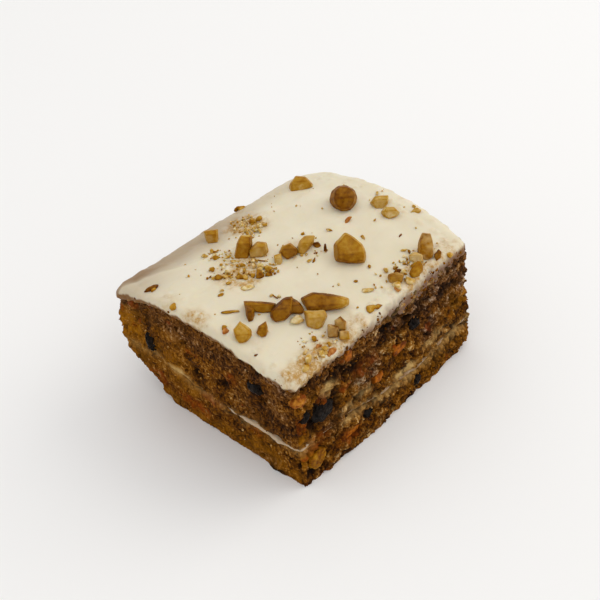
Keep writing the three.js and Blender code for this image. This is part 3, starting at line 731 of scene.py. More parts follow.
@dataclass(frozen=True)
class SliceForm:
    """The measures and formulas that every layer of the slice shares, in mm."""

    edges: tuple[UprightEdge, ...] = (
        UprightEdge(1.6, (0, 40), (-39.4, -40.3), (-32.3, -31.5)),
        UprightEdge(
            5.0, (0, 4, 10, 20, 40), (31.5, 35.4, 37.2, 36.9, 36.6),
            (-35.6, -35.8, -34.2, -32.3, -31.4),
        ),
        UprightEdge(9, (0, 8, 15, 40), (35, 37.4, 39.4, 39.8), (21, 27.5, 31, 29.8)),
        UprightEdge(
            2.0, (0, 8, 15, 20, 40), (-39.4, -40.0, -40.6, -41.0, -41.8),
            (20.4, 27.6, 34.6, 36.6, 32.8),
        ),
    )
    centre: tuple[float, float] = (-1.0, 0.0)
    mean_reach: float = 36.0         # from the centre to the rim
    fit_gap: float = 0.3             # between one solid and the next
    cream_level: float = 12.6
    cream_rises: tuple[float, float, float] = (5.0, -4.2, 1.8)
    cream_depth: float = 1.3
    sponge_level: float = 35.4
    crown: float = 4.6
    crown_y: float = 7.0             # where the crown is highest
    crown_reaches: tuple[float, float] = (38.0, 27.0)
    sags: tuple[float, float, float] = (1.6, 3.0, 1.2)
    frosting_depth: float = 2.7
    knife_wave: float = 0.22

    def outline(self, u: Array, z: Array) -> Array:
        """Plan outline: straight sides joined by quadratic curves at the four edges.

        Args:
            u: share of the way round, each side taking a quarter.
            z: height, which moves the four edges.

        Returns:
            Plan positions, the last axis of length 2.
        """
        u, z = np.broadcast_arrays(u, z)
        corners = np.stack([edge.at(z) for edge in self.edges])
        radii = np.array([edge.radius for edge in self.edges])
        turn = (u % 1.0) * 4
        side = np.minimum(3, np.floor(turn)).astype(int)
        t = turn - side

        def corner(which: Index) -> Array:
            """Plan position of an edge at each height."""
            index = np.broadcast_to((which % 4)[None, ..., None], (1, *which.shape, 2))
            return np.take_along_axis(corners, index, axis=0)[0]

        start, end = corner(side), corner(side + 1)
        length = np.linalg.norm(end - start, axis=-1)
        near_start = radii[side] / length
        near_end = radii[(side + 1) % 4] / length
        straight = mix(start, end, t[..., None])

        def curve(which: Index, share: Array) -> Array:
            """Quadratic curve round an edge, which is its middle control point.

            Args:
                which: number of the edge.
                share: share of the way along the curve.

            Returns:
                Plan positions.
            """
            middle = corner(which)
            radius = radii[which % 4][..., None]
            share = np.clip(share, 0.0, 1.0)[..., None]
            ends = [corner(which + step) - middle for step in (3, 1)]
            first, last = (
                middle + way * radius / np.linalg.norm(way, axis=-1, keepdims=True)
                for way in ends
            )
            return (1 - share) ** 2 * first + 2 * share * (1 - share) * middle + share**2 * last

        starting = curve(side, 0.5 + 0.5 * t / near_start)
        ending = curve(side + 1, 0.5 - 0.5 * (1 - t) / near_end)
        bent = np.where((t < near_start)[..., None], starting, straight)
        return np.where((t > 1 - near_end)[..., None], ending, bent)

    def outward(self, u: Array, z: Array) -> Array:
        """Level direction out of the side: across the chord of a short stretch of outline.

        Args:
            u: share of the way round.
            z: height.

        Returns:
            Unit directions, the last axis of length 2.
        """
        step = 0.004
        along = self.outline(u + step, z) - self.outline(u - step, z)
        along /= np.linalg.norm(along, axis=-1, keepdims=True)
        return np.stack([along[..., 1], -along[..., 0]], axis=-1)

    def side_point(self, u: Array, z: Array, out: Array | float) -> Array:
        """Plan position moved out of the side by a distance."""
        return self.outline(u, z) + self.outward(u, z) * np.asarray(out)[..., None]

    def face_place(self, side: Side, along: float, z: float) -> tuple[Array, Array, Array]:
        """A place on the long or short cut face.

        Args:
            side: which of the two faces.
            along: its x on the long face, or its y on the short face.
            z: its height.

        Returns:
            The place, and the level directions along and out of the face.
        """
        first, second = self.edges[side.value], self.edges[(side.value + 1) % 4]
        axis = 0 if side is Side.LONG else 1
        start, end = first.at(np.array(z)), second.at(np.array(z))
        share = (along - start[axis]) / (end[axis] - start[axis])
        place = mix(start, end, share)
        way = (end - start) / np.linalg.norm(end - start)
        return np.array([*place, z]), np.array([*way, 0.0]), np.array([way[1], -way[0], 0.0])

    def cream_height(self, x: Array, y: Array) -> Array:
        """Middle of the cream: eased rises to the left, along the face and to the right.

        Args:
            x: place along the long face.
            y: place along the short face.

        Returns:
            Heights in mm.
        """
        left, middle, right = self.cream_rises
        wave = 0.3 * np.sin(0.31 * x + 1.1) * np.sin(0.33 * y + 0.4)
        rise = left * ease((y + 14) / 48) + middle * ease((x + 30) / 35)
        return self.cream_level + rise + right * ease((x - 12) / 22) + wave

    def cream_thickness(self, x: Array, y: Array) -> Array:
        """Thickness of the cream, with slow waves."""
        return self.cream_depth * (1 + 0.22 * np.sin(0.29 * x + 0.8) * np.sin(0.35 * y + 1.9))

    def sponge_top(self, x: Array, y: Array) -> Array:
        """Top of the upper sponge: a crown across the slice, less the sags at its corners.

        Args:
            x: place along the long face.
            y: place along the short face.

        Returns:
            Heights in mm.
        """
        front, back = self.crown_reaches
        reach = np.where(y < self.crown_y, front, back)
        crown = self.crown * np.clip(1 - ((y - self.crown_y) / reach) ** 2, 0, None) ** 1.5
        right, rear, left = self.sags
        sag = right * ease((x - 18) / 20) * ease((-16 - y) / 14)
        sag = sag + rear * ease((x - 16) / 24) * ease((y + 6) / 34)
        sag = sag + left * ease((-34 - x) / 8) * ease((y - 22) / 10)
        return self.sponge_level + crown - sag

    def frosting_top(self, x: Array, y: Array) -> Array:
        """Top of the frosting: the sponge's own top, the frosting, and the knife's waves."""
        wave = np.sin(0.21 * x + 0.34 * y) + 0.6 * np.sin(0.47 * x - 0.19 * y + 2.0)
        return self.sponge_top(x, y) + (self.fit_gap + self.frosting_depth + self.knife_wave * wave)

    def crags(self, points: Array) -> Array:
        """Waves of about 8 mm and 4 mm that stand for torn crumb: products of sines.

        Args:
            points: places in mm.

        Returns:
            Values from -1 to 1.
        """
        x, y, z = np.moveaxis(points, -1, 0)
        broad = np.sin(0.71 * x + 1.3 * np.sin(0.53 * z)) * np.sin(0.67 * y + 0.8 * z + 0.6)
        fine = np.sin(1.63 * x - 0.9 * z + 1.1) * np.sin(1.51 * y + 1.37 * z)
        return 0.62 * broad + 0.38 * fine


FORM = SliceForm()


@dataclass(frozen=True)
class Spot:
    """A soft oval patch on a cut face, in mm."""

    side: Side
    along: float
    z: float
    length: float
    height: float
    strength: float = 1.0

    def spread(self, side: Array, along: Array, z: Array) -> Array:
        """Bell over the oval: e to the minus fourth power of the reach, on its own side.

        Args:
            side: number of the side.
            along: place along it.
            z: height.

        Returns:
            The strength at each place.
        """
        reach = (2 * (along - self.along) / self.length) ** 2
        reach = reach + (2 * (z - self.z) / self.height) ** 2
        return np.where(side == self.side.value, self.strength * np.exp(-(reach**2)), 0.0)


Spots = tuple[Spot, ...]


def spots(side: Side, *rows: tuple[float, ...]) -> Spots:
    """Soft patches on one side, one for each row of measures."""
    return tuple(Spot(side, *row) for row in rows)


@dataclass(frozen=True)
class Inclusion:
    """A fruit, carrot or nut in a cut face, with how far its middle stands out of it."""

    node: str
    side: Side
    along: float
    z: float
    length: float
    width: float
    height: float
    proud: float
    seed: int
    bared: float = 1.0       # how far the crumb has shrunk back from it


RAISINS = (
    Inclusion("raisin_1", Side.LONG, -29.4, 20.2, 9.4, 5, 8.6, -1.6, 40),
    Inclusion("raisin_2", Side.LONG, -36.6, 23.2, 4.2, 4, 3.8, -1.2, 41),
    Inclusion("raisin_3", Side.SHORT, 23.4, 22.6, 3.6, 4, 8, -1.2, 42, 0.2),
    Inclusion("raisin_4", Side.SHORT, -18, 28.6, 6.2, 4, 4.4, -1.2, 43, 0.4),
    Inclusion("raisin_5", Side.LONG, 10.4, 23, 5.6, 4, 4.2, -1.2, 44),
    Inclusion("raisin_6", Side.LONG, 8.2, 4.2, 4.2, 4, 4.6, -1.2, 45),
    Inclusion("raisin_7", Side.LONG, -13.2, 6.8, 5.6, 4, 3.2, -1.2, 46),
)
SULTANAS = (Inclusion("sultana_1", Side.LONG, -37.6, 30.4, 5.2, 4.4, 4.6, -1.0, 50),)
CARROTS = (
    Inclusion("carrot_1", Side.LONG, -7.4, 15.6, 4.6, 3, 3, -0.8, 60),
    Inclusion("carrot_2", Side.LONG, -18.6, 32, 4, 3, 2.8, -0.8, 61),
    Inclusion("carrot_3", Side.LONG, -20.4, 6, 6.4, 3, 3, -0.8, 62),
    Inclusion("carrot_4", Side.LONG, 2.8, 19.6, 6, 3, 3, -0.8, 63),
)
SUNK_WALNUTS = (Inclusion("walnut_21", Side.LONG, -33.6, 6.0, 6.6, 4.0, 5.2, -1.0, 70),)


# -------- pieces


@dataclass
class Piece:
    """What every sub-assembly shares: its finish, and how its objects are made."""

    finish: Finish

    def make(
        self, name: str, points: Array, faces: Sequence[Index], values: dict[str, Array],
        *nodes: str,
    ) -> Object:
        """Makes an object from whole arrays and puts it on its body.

        Args:
            name: the object's name.
            points: places in mm in the slice's own plan, one row for each vertex.
            faces: arrays of vertex numbers, one row for each face, with 3 or 4 columns.
            values: the finish's attributes, one column or four for each vertex, by name.
            nodes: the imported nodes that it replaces.

        Returns:
            The new object, at the origin.
        """
        mesh = bpy.data.meshes.new(name)
        mesh.vertices.add(len(points))
        mesh.vertices.foreach_set("co", place_in_frame(points).astype(np.float32).ravel())
        corners = np.concatenate([part.ravel() for part in faces])
        sizes = np.concatenate([np.full(len(part), part.shape[1]) for part in faces])
        mesh.loops.add(len(corners))
        mesh.loops.foreach_set("vertex_index", corners.astype(np.int32))
        mesh.polygons.add(len(sizes))
        mesh.polygons.foreach_set("loop_start", (np.cumsum(sizes) - sizes).astype(np.int32))
        mesh.polygons.foreach_set("use_smooth", np.ones(len(sizes), bool))
        for label, table in values.items():
            four = table.ndim == 2
            layer = mesh.attributes.new(label, "FLOAT_COLOR" if four else "FLOAT", "POINT")
            layer.data.foreach_set("color" if four else "value", table.astype(np.float32).ravel())
        mesh.update(calc_edges=True)
        mesh.materials.append(self.finish.material())
        made = linked(name, mesh)
        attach(made, "root")
        if nodes:
            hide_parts(*nodes)
        log.info("%s: %d faces", name, len(sizes))
        return made


@dataclass
class CreamPresence:
    """How much of the cream still shows round the slice, from 0 to 1.

    It was squeezed thin by the weight above it, most of all towards the left edge.
    """

    knots: Knots = (
        (0.00, 0.50), (0.03, 0.50), (0.08, 0.62), (0.11, 0.80), (0.13, 0.66), (0.165, 0.85),
        (0.19, 0.46), (0.25, 0.45), (0.30, 0.70), (0.50, 0.60), (0.70, 0.65), (0.75, 0.20),
        (0.81, 0.12), (0.83, 0.25), (0.89, 0.20), (0.905, 0.60), (0.92, 0.80), (0.97, 0.84),
        (1.00, 0.62),
    )

    def at(self, u: Array) -> Array:
        """Straight lines between the knots, less where a fast ripple is low."""
        ripple = 0.12 * np.sin(37 * FULL_TURN * u) * np.sin(11 * FULL_TURN * u + 0.6)
        return np.clip(between(self.knots, u % 1.0) + ripple, 0.08, 1.0)

    def half(self, x: Array, y: Array, u: Array) -> Array:
        """Half of the thickness that is left, with half of the gap beside it."""
        return self.at(u) * (FORM.cream_thickness(x, y) / 2 + 0.5 * FORM.fit_gap)


PRESENCE = CreamPresence()


@dataclass
class SpongeLayer(Piece):
    """A layer of sponge: a closed body with fine crumb relief on its sides."""

    node: str = "upper_sponge"
    bottom_z: float = 13.0
    top_z: float = 36.0
    rows: int = 84
    columns: int = 1080
    worn_top: float = 0.4        # how far the upper and lower arris are worn back
    worn_bottom: float = 0.4
    lump_mm: float = 3.0         # the three sizes of crumb
    bit_mm: float = 1.25
    speck_mm: float = 0.62
    sink_mm: float = 1.2         # how far it has shrunk back from fruit, carrot and nut
    # What the loose crumbs need: places, level normals, tones with painted pore shade, and zones.
    surface: Array = field(default_factory=lambda: np.zeros((1, 1, 3)))
    normals: Array = field(default_factory=lambda: np.zeros((1, 1, 2)))
    crumb: Array = field(default_factory=lambda: np.zeros((1, 1, 4)))
    area: Array = field(default_factory=lambda: np.zeros((1, 1, 4)))

    # How rough each side is, by share of the way round: the long face is torn.
    roughness: Knots = (
        (0, 1.1), (0.02, 1.5), (0.23, 1.5), (0.27, 1.2), (0.73, 1.1), (0.765, 1), (0.80, 0.6),
        (1, 0.7),
    )
    # Butter and brown sugar leave golden crumb.
    gold: Spots = (
        *spots(Side.SHORT, (32, 22, 14, 60, 0.75), (0, 1, 90, 9, 0.5), (12, 15, 18, 12, 0.45)),
        *spots(Side.LONG, (-38, 12, 8, 14, 0.5), (30, 22, 16, 12, 0.4), (18, 6, 34, 9, 0.35)),
    )
    # Frosting above and fruit beside it leave it wet and purple-brown.
    wet: Spots = (
        *spots(
            Side.LONG, (14, 31, 46, 11, 0.8), (20, 24, 24, 12, 0.42), (-24, 31, 22, 8, 0.4),
            (-12, 22, 14, 12, 0.5), (-27, 15, 9, 14, 0.5), (14.9, 17.7, 8, 7, 0.7),
            (33, 25, 8, 9, 0.7),
        ),
        *spots(Side.SHORT, (-18, 2, 14, 4, 0.4), (-22, 22, 26, 18, 0.45), (0, 34, 80, 8, 0.5)),
    )
    # Carrot has stained it orange.
    stain: Spots = (
        *spots(
            Side.SHORT, (8.5, 5.5, 14, 6, 0.7), (23.7, 8, 8, 6, 0.6), (0, 13, 8, 4, 0.7),
            (-9.3, 26.9, 4, 4, 0.7), (-16, 10.5, 5, 3, 0.5),
        ),
        *spots(
            Side.LONG, (-38.5, 21.7, 6, 6, 0.6), (-34, 12, 10, 6, 0.55),
            (-12, 24, 10, 5, 0.4), (-22, 6, 10, 5, 0.5),
        ),
    )
    # Cream has smeared it, and below 0 the seam's own smear is less.
    pale: Spots = (
        *spots(
            Side.LONG, (-27.1, 26.9, 6, 5, 0.6), (-16, 15.5, 16, 3.2, 0.3),
            (18, 13.6, 12, 4, 0.4), (4, 11, 9, 2.4, 1), (-29, 12.5, 12, 5, -0.5),
            (9, 34, 30, 3, 0.3),
        ),
        *spots(Side.SHORT, (13, 16.5, 10, 3, 0.6)),
    )
    # The face swells here by so many mm, and below 0 it falls back.
    bulges: Spots = (
        *spots(Side.LONG, (-22, 1, 44, 14, 0.9), (25, 1, 16, 9, -1)),
        *spots(Side.SHORT, (26, 22, 16, 16, -0.6), (31, 3, 9, 8, 1.2), (-23, 0.3, 7, 3, 1.6)),
    )
    # Deep gaps between lumps, pushed in and painted darker as shade.
    dark: Spots = (
        *spots(
            Side.LONG, (-33, 25, 7, 5, 0.7), (-24.6, 21.8, 3.6, 8, 0.9), (-24, 30.2, 8, 4, 0.6),
            (-20.2, 27.3, 6, 3.5, 0.5), (-16, 15.8, 5, 2.4, 0.4), (28.3, 12.7, 6, 2.4, 0.5),
            (18.9, 30.3, 3, 1.4, 0.5), (14.6, 28.2, 5, 1.2, 0.6), (-34, 19, 4, 7, 0.9),
            (0, 31.4, 8, 1.6, 0.6), (18, 34.8, 5, 1.6, 1), (10, 26, 6, 2, 0.4),
            (-3, 30.6, 7, 3.5, 0.9), (16.7, 36.4, 5, 1.6, 1), (3, 27, 24, 4, 0.5),
            (-16, 27, 5, 6, 0.8), (26, 27, 8, 4, 0.5), (-36, 3, 5, 3, 0.8),
        ),
        *spots(
            Side.SHORT, (3.9, 21.3, 3.4, 3.4, 1), (-6.6, 23.8, 3.6, 3.4, 1),
            (-23, 0.4, 7, 2.4, 1), (-28.5, 8.2, 6, 1.4, 1), (-31.5, 6.8, 3, 1.4, 0.9),
        ),
    )

    def bottom(self, x: Array, y: Array, u: Array) -> Array:
        """Lower face: the top of the cream, closed up where little cream is left."""
        return FORM.cream_height(x, y) + PRESENCE.half(x, y, u)

    def top(self, x: Array, y: Array, u: Array) -> Array:
        """Upper face: the crowned top under the frosting."""
        return FORM.sponge_top(x, y) + 0 * u

    def relief(self, points: Array, u: Array) -> tuple[Array, Array, Array]:
        """Crumb relief of a cut face.

        Lumps, bits and specks stand out round their own middles with gaps between, most
        where the face is torn, and hollows of up to 1.9 mm radius are cut in.

        Args:
            points: places on the smooth side, in mm.
            u: share of the way round, for how rough the side is.

        Returns:
            How far the surface stands out in mm, its tone from 0 to 1, and the painted shade of its
            pores and gaps.
        """
        rough = between(self.roughness, u)
        torn = ease((rough - 0.7) / 0.8)
        # A slow drift bends the cells, so that the lumps don't stand in rows.
        drift = np.stack([rough_noise(points, 3.0, salt, 2) for salt in (61, 62, 63)], axis=-1)
        bent = points * np.array([1.0, 1.0, 1.2]) + 0.7 * drift
        lump, lump_next, lump_tone = cells(bent, self.lump_mm, 10)
        bit, bit_next, bit_tone = cells(bent, self.bit_mm, 20)
        speck, _, speck_tone = cells(points, self.speck_mm, 25)
        large = hollows(bent, 5.2, 30, 1.9, 0.4)
        middling = hollows(bent, 2.1, 40, 0.75, 0.5)
        small = hollows(points, 1.05, 50, 0.36, 0.6)
        # Gaps run where the nearest two middles are about equally far.
        gap = ease(1 - (lump_next - lump) / 0.3)
        seam = ease(1 - (bit_next - bit) / 0.25)
        out = (0.42 + 0.25 * torn) * rough_noise(points, 7.0, 60)
        out += (0.3 + 0.45 * torn) * (0.55 - lump) - 0.35 * torn * gap
        out += (0.22 + 0.3 * torn) * (0.5 - bit) - 0.12 * seam
        out += 0.35 * torn * np.abs(rough_noise(points * np.array([1.0, 1.0, 1.5]), 2.2, 55))
        # Where it isn't torn, the knife has dragged the crumb down in fine streaks.
        drag = rough_noise(points * np.array([1.6, 1.6, 0.5]), 0.9, 75, 2)
        out += 0.1 * (0.5 - speck) + 0.08 * smooth_noise(points, 0.5, 70)
        out += 0.08 * (1 - torn) * drag
        out += 0.5 * torn - rough * (0.75 * large + 0.6 * middling) - 0.5 * small
        # Hollows and gaps get painted shade, and each lump, bit and speck has its own tone.
        pore_shade = 0.5 * large + 0.9 * middling + 1.1 * small + (0.12 + 0.4 * torn) * gap
        pore_shade = pore_shade + (0.12 + 0.15 * torn) * seam
        tone = 0.14 + 0.26 * bit_tone + (0.06 + 0.42 * torn) * lump_tone + 0.24 * speck_tone
        tone = tone + 0.16 * rough_noise(points, 5.0, 80) + 0.08 * (1 - torn) * drag
        return out, tone - 0.15 * torn, np.clip(pore_shade, 0, 1)

    def total(self, patches: Sequence[Spot], points: Array, u: Array) -> Array:
        """Sum of soft patches at places on the side.

        Args:
            patches: the patches.
            points: places in mm.
            u: share of the way round, which tells the side.

        Returns:
            One value for each point.
        """
        x, y, z = np.moveaxis(points, -1, 0)
        side = side_number(u) + 0 * z
        along = np.where(side % 2 == 0, x, y)
        return np.sum([patch.spread(side, along, z) for patch in patches], axis=0)

    def zones(self, points: Array, u: Array, tone: Array) -> Array:
        """Where the crumb is golden, wet, stained and pale.

        Args:
            points: places on the side, in mm.
            u: share of the way round.
            tone: the crumb's own tone, which breaks up the edges of the zones.

        Returns:
            Shares of gold, wet, stain and pale in four columns.
        """
        x, y, z = np.moveaxis(points, -1, 0)
        side = side_number(u) + 0 * z
        broken = 0.55 + 0.5 * rough_noise(points, 1.6, 90) + 0.5 * (tone - 0.4)
        patch = rough_noise(points, 9.0, 100, 2)
        fleck = smooth_noise(points, 3.2, 110)
        under = FORM.sponge_top(x, y) - z
        # The frosting has soaked the uppermost 1.4 to 3.8 mm, and the cream smears its seam.
        soaked = ease(1 - under / (2.6 + 1.2 * smooth_noise(points, 4.0, 120)))
        seam = np.exp(-((z - FORM.cream_height(x, y)) / 1.5) ** 2) * np.where(side == 3, 0.25, 0.5)
        gold = self.total(self.gold, points, u) + 0.35 * ease(patch) + 0.3 * np.isin(side, (1, 2))
        wet = self.total(self.wet, points, u) + 0.75 * soaked + 0.3 * ease(-patch - 0.1)
        stain = self.total(self.stain, points, u) + 0.6 * ease((fleck - 0.62) / 0.25)
        pale = self.total(self.pale, points, u) + seam
        shares = [gold * 0.8, wet * 0.9, stain, pale]
        return np.stack([np.clip(share * broken * 1.4, 0, 0.85) for share in shares], axis=-1)

    def pushed_in(self, points: Array, u: Array) -> Array:
        """How far the crumb sinks where a fruit, carrot or nut lies in the face.

        Args:
            points: places on the side, in mm.
            u: share of the way round.

        Returns:
            Depths in mm.
        """
        found = [
            Spot(bit.side, bit.along, bit.z, bit.length * 1.1, bit.height * 1.1, bit.bared)
            for bit in (*RAISINS, *SULTANAS, *CARROTS, *SUNK_WALNUTS)
        ]
        return self.sink_mm * np.clip(self.total(found, points, u), 0, 1)

    def build(self) -> Object:
        """Makes the layer: face rings, fine side rings from the top down, face rings.

        Each side ring is the smooth outline at its height, moved out by the relief, the
        waves of the solid and the swellings, less the gaps and what is pushed in.

        Returns:
            The layer's object.
        """
        u = (np.arange(self.columns) / self.columns)[None, :]
        share = np.linspace(1, 0, self.rows)[:, None]
        middle = mix(self.bottom_z, self.top_z, share)
        guide = FORM.outline(u, middle)
        low = self.bottom(guide[..., 0], guide[..., 1], u)
        high = self.top(guide[..., 0], guide[..., 1], u)
        z = mix(low, high, share)
        smooth = raised(FORM.outline(u, z), z)
        self.normals = FORM.outward(u, z)
        out, tone, pore_shade = self.relief(smooth, u)
        area = self.zones(smooth, u, tone)
        dark = np.clip(self.total(self.dark, smooth, u), 0, 1)
        # Cream fills the crumb that it is smeared over, and the foot is pressed flat.
        smeared = 0.65 * np.clip(1.6 * area[..., 3], 0, 1)
        out, pore_shade = out * (1 - smeared), pore_shade * (1 - smeared)
        out *= mix(0.45, 1.0, ease(z / 3.5))
        out += 0.55 * FORM.crags(smooth) - 0.9 * dark - self.pushed_in(smooth, u)
        out += self.total(self.bulges, smooth, u)
        for from_edge, worn in ((1 - share, self.worn_top), (share, self.worn_bottom)):
            out -= worn * np.exp(-(((high - low) * from_edge / 0.6) ** 2))
        # The heights follow the moved places, so that the layers keep on meeting.
        plan = smooth[..., :2] + self.normals * out[..., None]
        final = mix(
            self.bottom(plan[..., 0], plan[..., 1], u),
            self.top(plan[..., 0], plan[..., 1], u),
            share,
        )
        self.surface = raised(plan, final)
        # The deep gaps are painted darker as shade, in the pore channel and in the tone.
        pore_shade = np.clip(pore_shade * 0.8 + 0.75 * dark, 0, 0.92)
        crumb = np.stack([tone - 0.2 * dark, pore_shade, 0 * pore_shade, np.ones_like(pore_shade)], axis=-1)
        self.crumb, self.area = crumb, area
        rings = [self.face_rings(self.top, (0.55, 0.93), self.surface[0], u)]
        rings += [self.surface, self.face_rings(self.bottom, (0.93, 0.55), self.surface[-1], u)]
        crumb, area = (
            with_poles(np.pad(rows, ((2, 2), (0, 0), (0, 0)), mode="edge"))
            for rows in (crumb, area)
        )
        return self.make(
            f"{self.node}_crumb", with_poles(np.concatenate(rings)),
            ring_faces(self.rows + 4, self.columns), {"crumb": crumb, "zones": area}, self.node,
        )

    def face_rings(
        self, height: Callable[..., Array], shares: Sequence[float], rim: Array, u: Array
    ) -> Array:
        """Rings of a covered face, each the rim drawn towards the centre by a share.

        Args:
            height: gives the face's height from x, y and u.
            shares: how far out each ring lies, 1 at the rim.
            rim: places of the rim, in mm.
            u: share of the way round.

        Returns:
            Places in mm, one ring after the other.
        """
        share = np.array(shares)[:, None, None]
        plan = mix(np.array(FORM.centre), rim[None, :, :2], share)
        return raised(plan, height(plan[..., 0], plan[..., 1], u))


@dataclass
class LowerSponge(SpongeLayer):
    """The layer that stands on the plate, flat below and under the cream above."""

    node: str = "lower_sponge"
    bottom_z: float = 0.0
    top_z: float = 13.0
    rows: int = 46
    worn_bottom: float = -0.1

    def bottom(self, x: Array, y: Array, u: Array) -> Array:
        """The flat base."""
        return 0 * x + 0 * u

    def top(self, x: Array, y: Array, u: Array) -> Array:
        """Upper face: the underside of the cream, closed up where little is left."""
        return FORM.cream_height(x, y) - PRESENCE.half(x, y, u)


@dataclass
class CreamFilling(Piece):
    """The thin cream between the layers, with an uneven rim."""

    rows: int = 10
    columns: int = 900
    level: float = 13.0
    # How much crumb has rubbed into it, by share of the way round.
    rubbed: Knots = ((0, 0.1), (0.04, 0.6), (0.2, 0.6), (0.25, 0.2), (1, 0))

    def build(self) -> Object:
        """Makes the cream: two faces of rings and a rounded rim between them.

        The rim stands out where more cream is left and falls back where little is, and
        the crumb's stain is strongest where it is thin.

        Returns:
            The cream's object.
        """
        u = (np.arange(self.columns) / self.columns)[None, :]
        rise = np.linspace(1, -1, self.rows)[:, None]
        guide = FORM.outline(u, np.full((1, 1), self.level))
        middle = FORM.cream_height(guide[..., 0], guide[..., 1])
        presence = PRESENCE.at(u)
        ripples = raised(guide, middle)
        wave = rough_noise(ripples, 5.0, 200) + 0.5 * smooth_noise(ripples, 1.1, 210)
        out = -1.1 + 1.2 * presence + 0.3 * wave
        out = out - 0.35 * np.abs(rise) ** 2.5
        plan = FORM.side_point(u + 0 * rise, middle + 0 * rise, out)
        half = presence * (FORM.cream_thickness(guide[..., 0], guide[..., 1]) / 2 + 0.25)
        z = FORM.cream_height(plan[..., 0], plan[..., 1]) + rise * half
        rim = raised(plan, z)
        faces = []
        for sign, shares, end in ((1, (0.5, 0.9), rim[0]), (-1, (0.9, 0.5), rim[-1])):
            inner = mix(np.array(FORM.centre), end[None, :, :2], np.array(shares)[:, None, None])
            level = FORM.cream_height(inner[..., 0], inner[..., 1]) + sign * half
            faces.append(raised(inner, level))
        rings = np.concatenate([faces[0], rim, faces[1]])
        share = 1 - ease((presence - 0.2) / 0.4) + between(self.rubbed, u)
        share = np.clip(share + 0.35 * rough_noise(rings, 1.3, 220), 0, 0.97)
        stain = np.stack([share, 0.8 + 0 * share, 0 * share, 1 + 0 * share], axis=-1)
        return self.make(
            "cream_line", with_poles(rings), ring_faces(self.rows + 4, self.columns),
            {"stain": with_poles(stain)}, "cream_filling",
        )


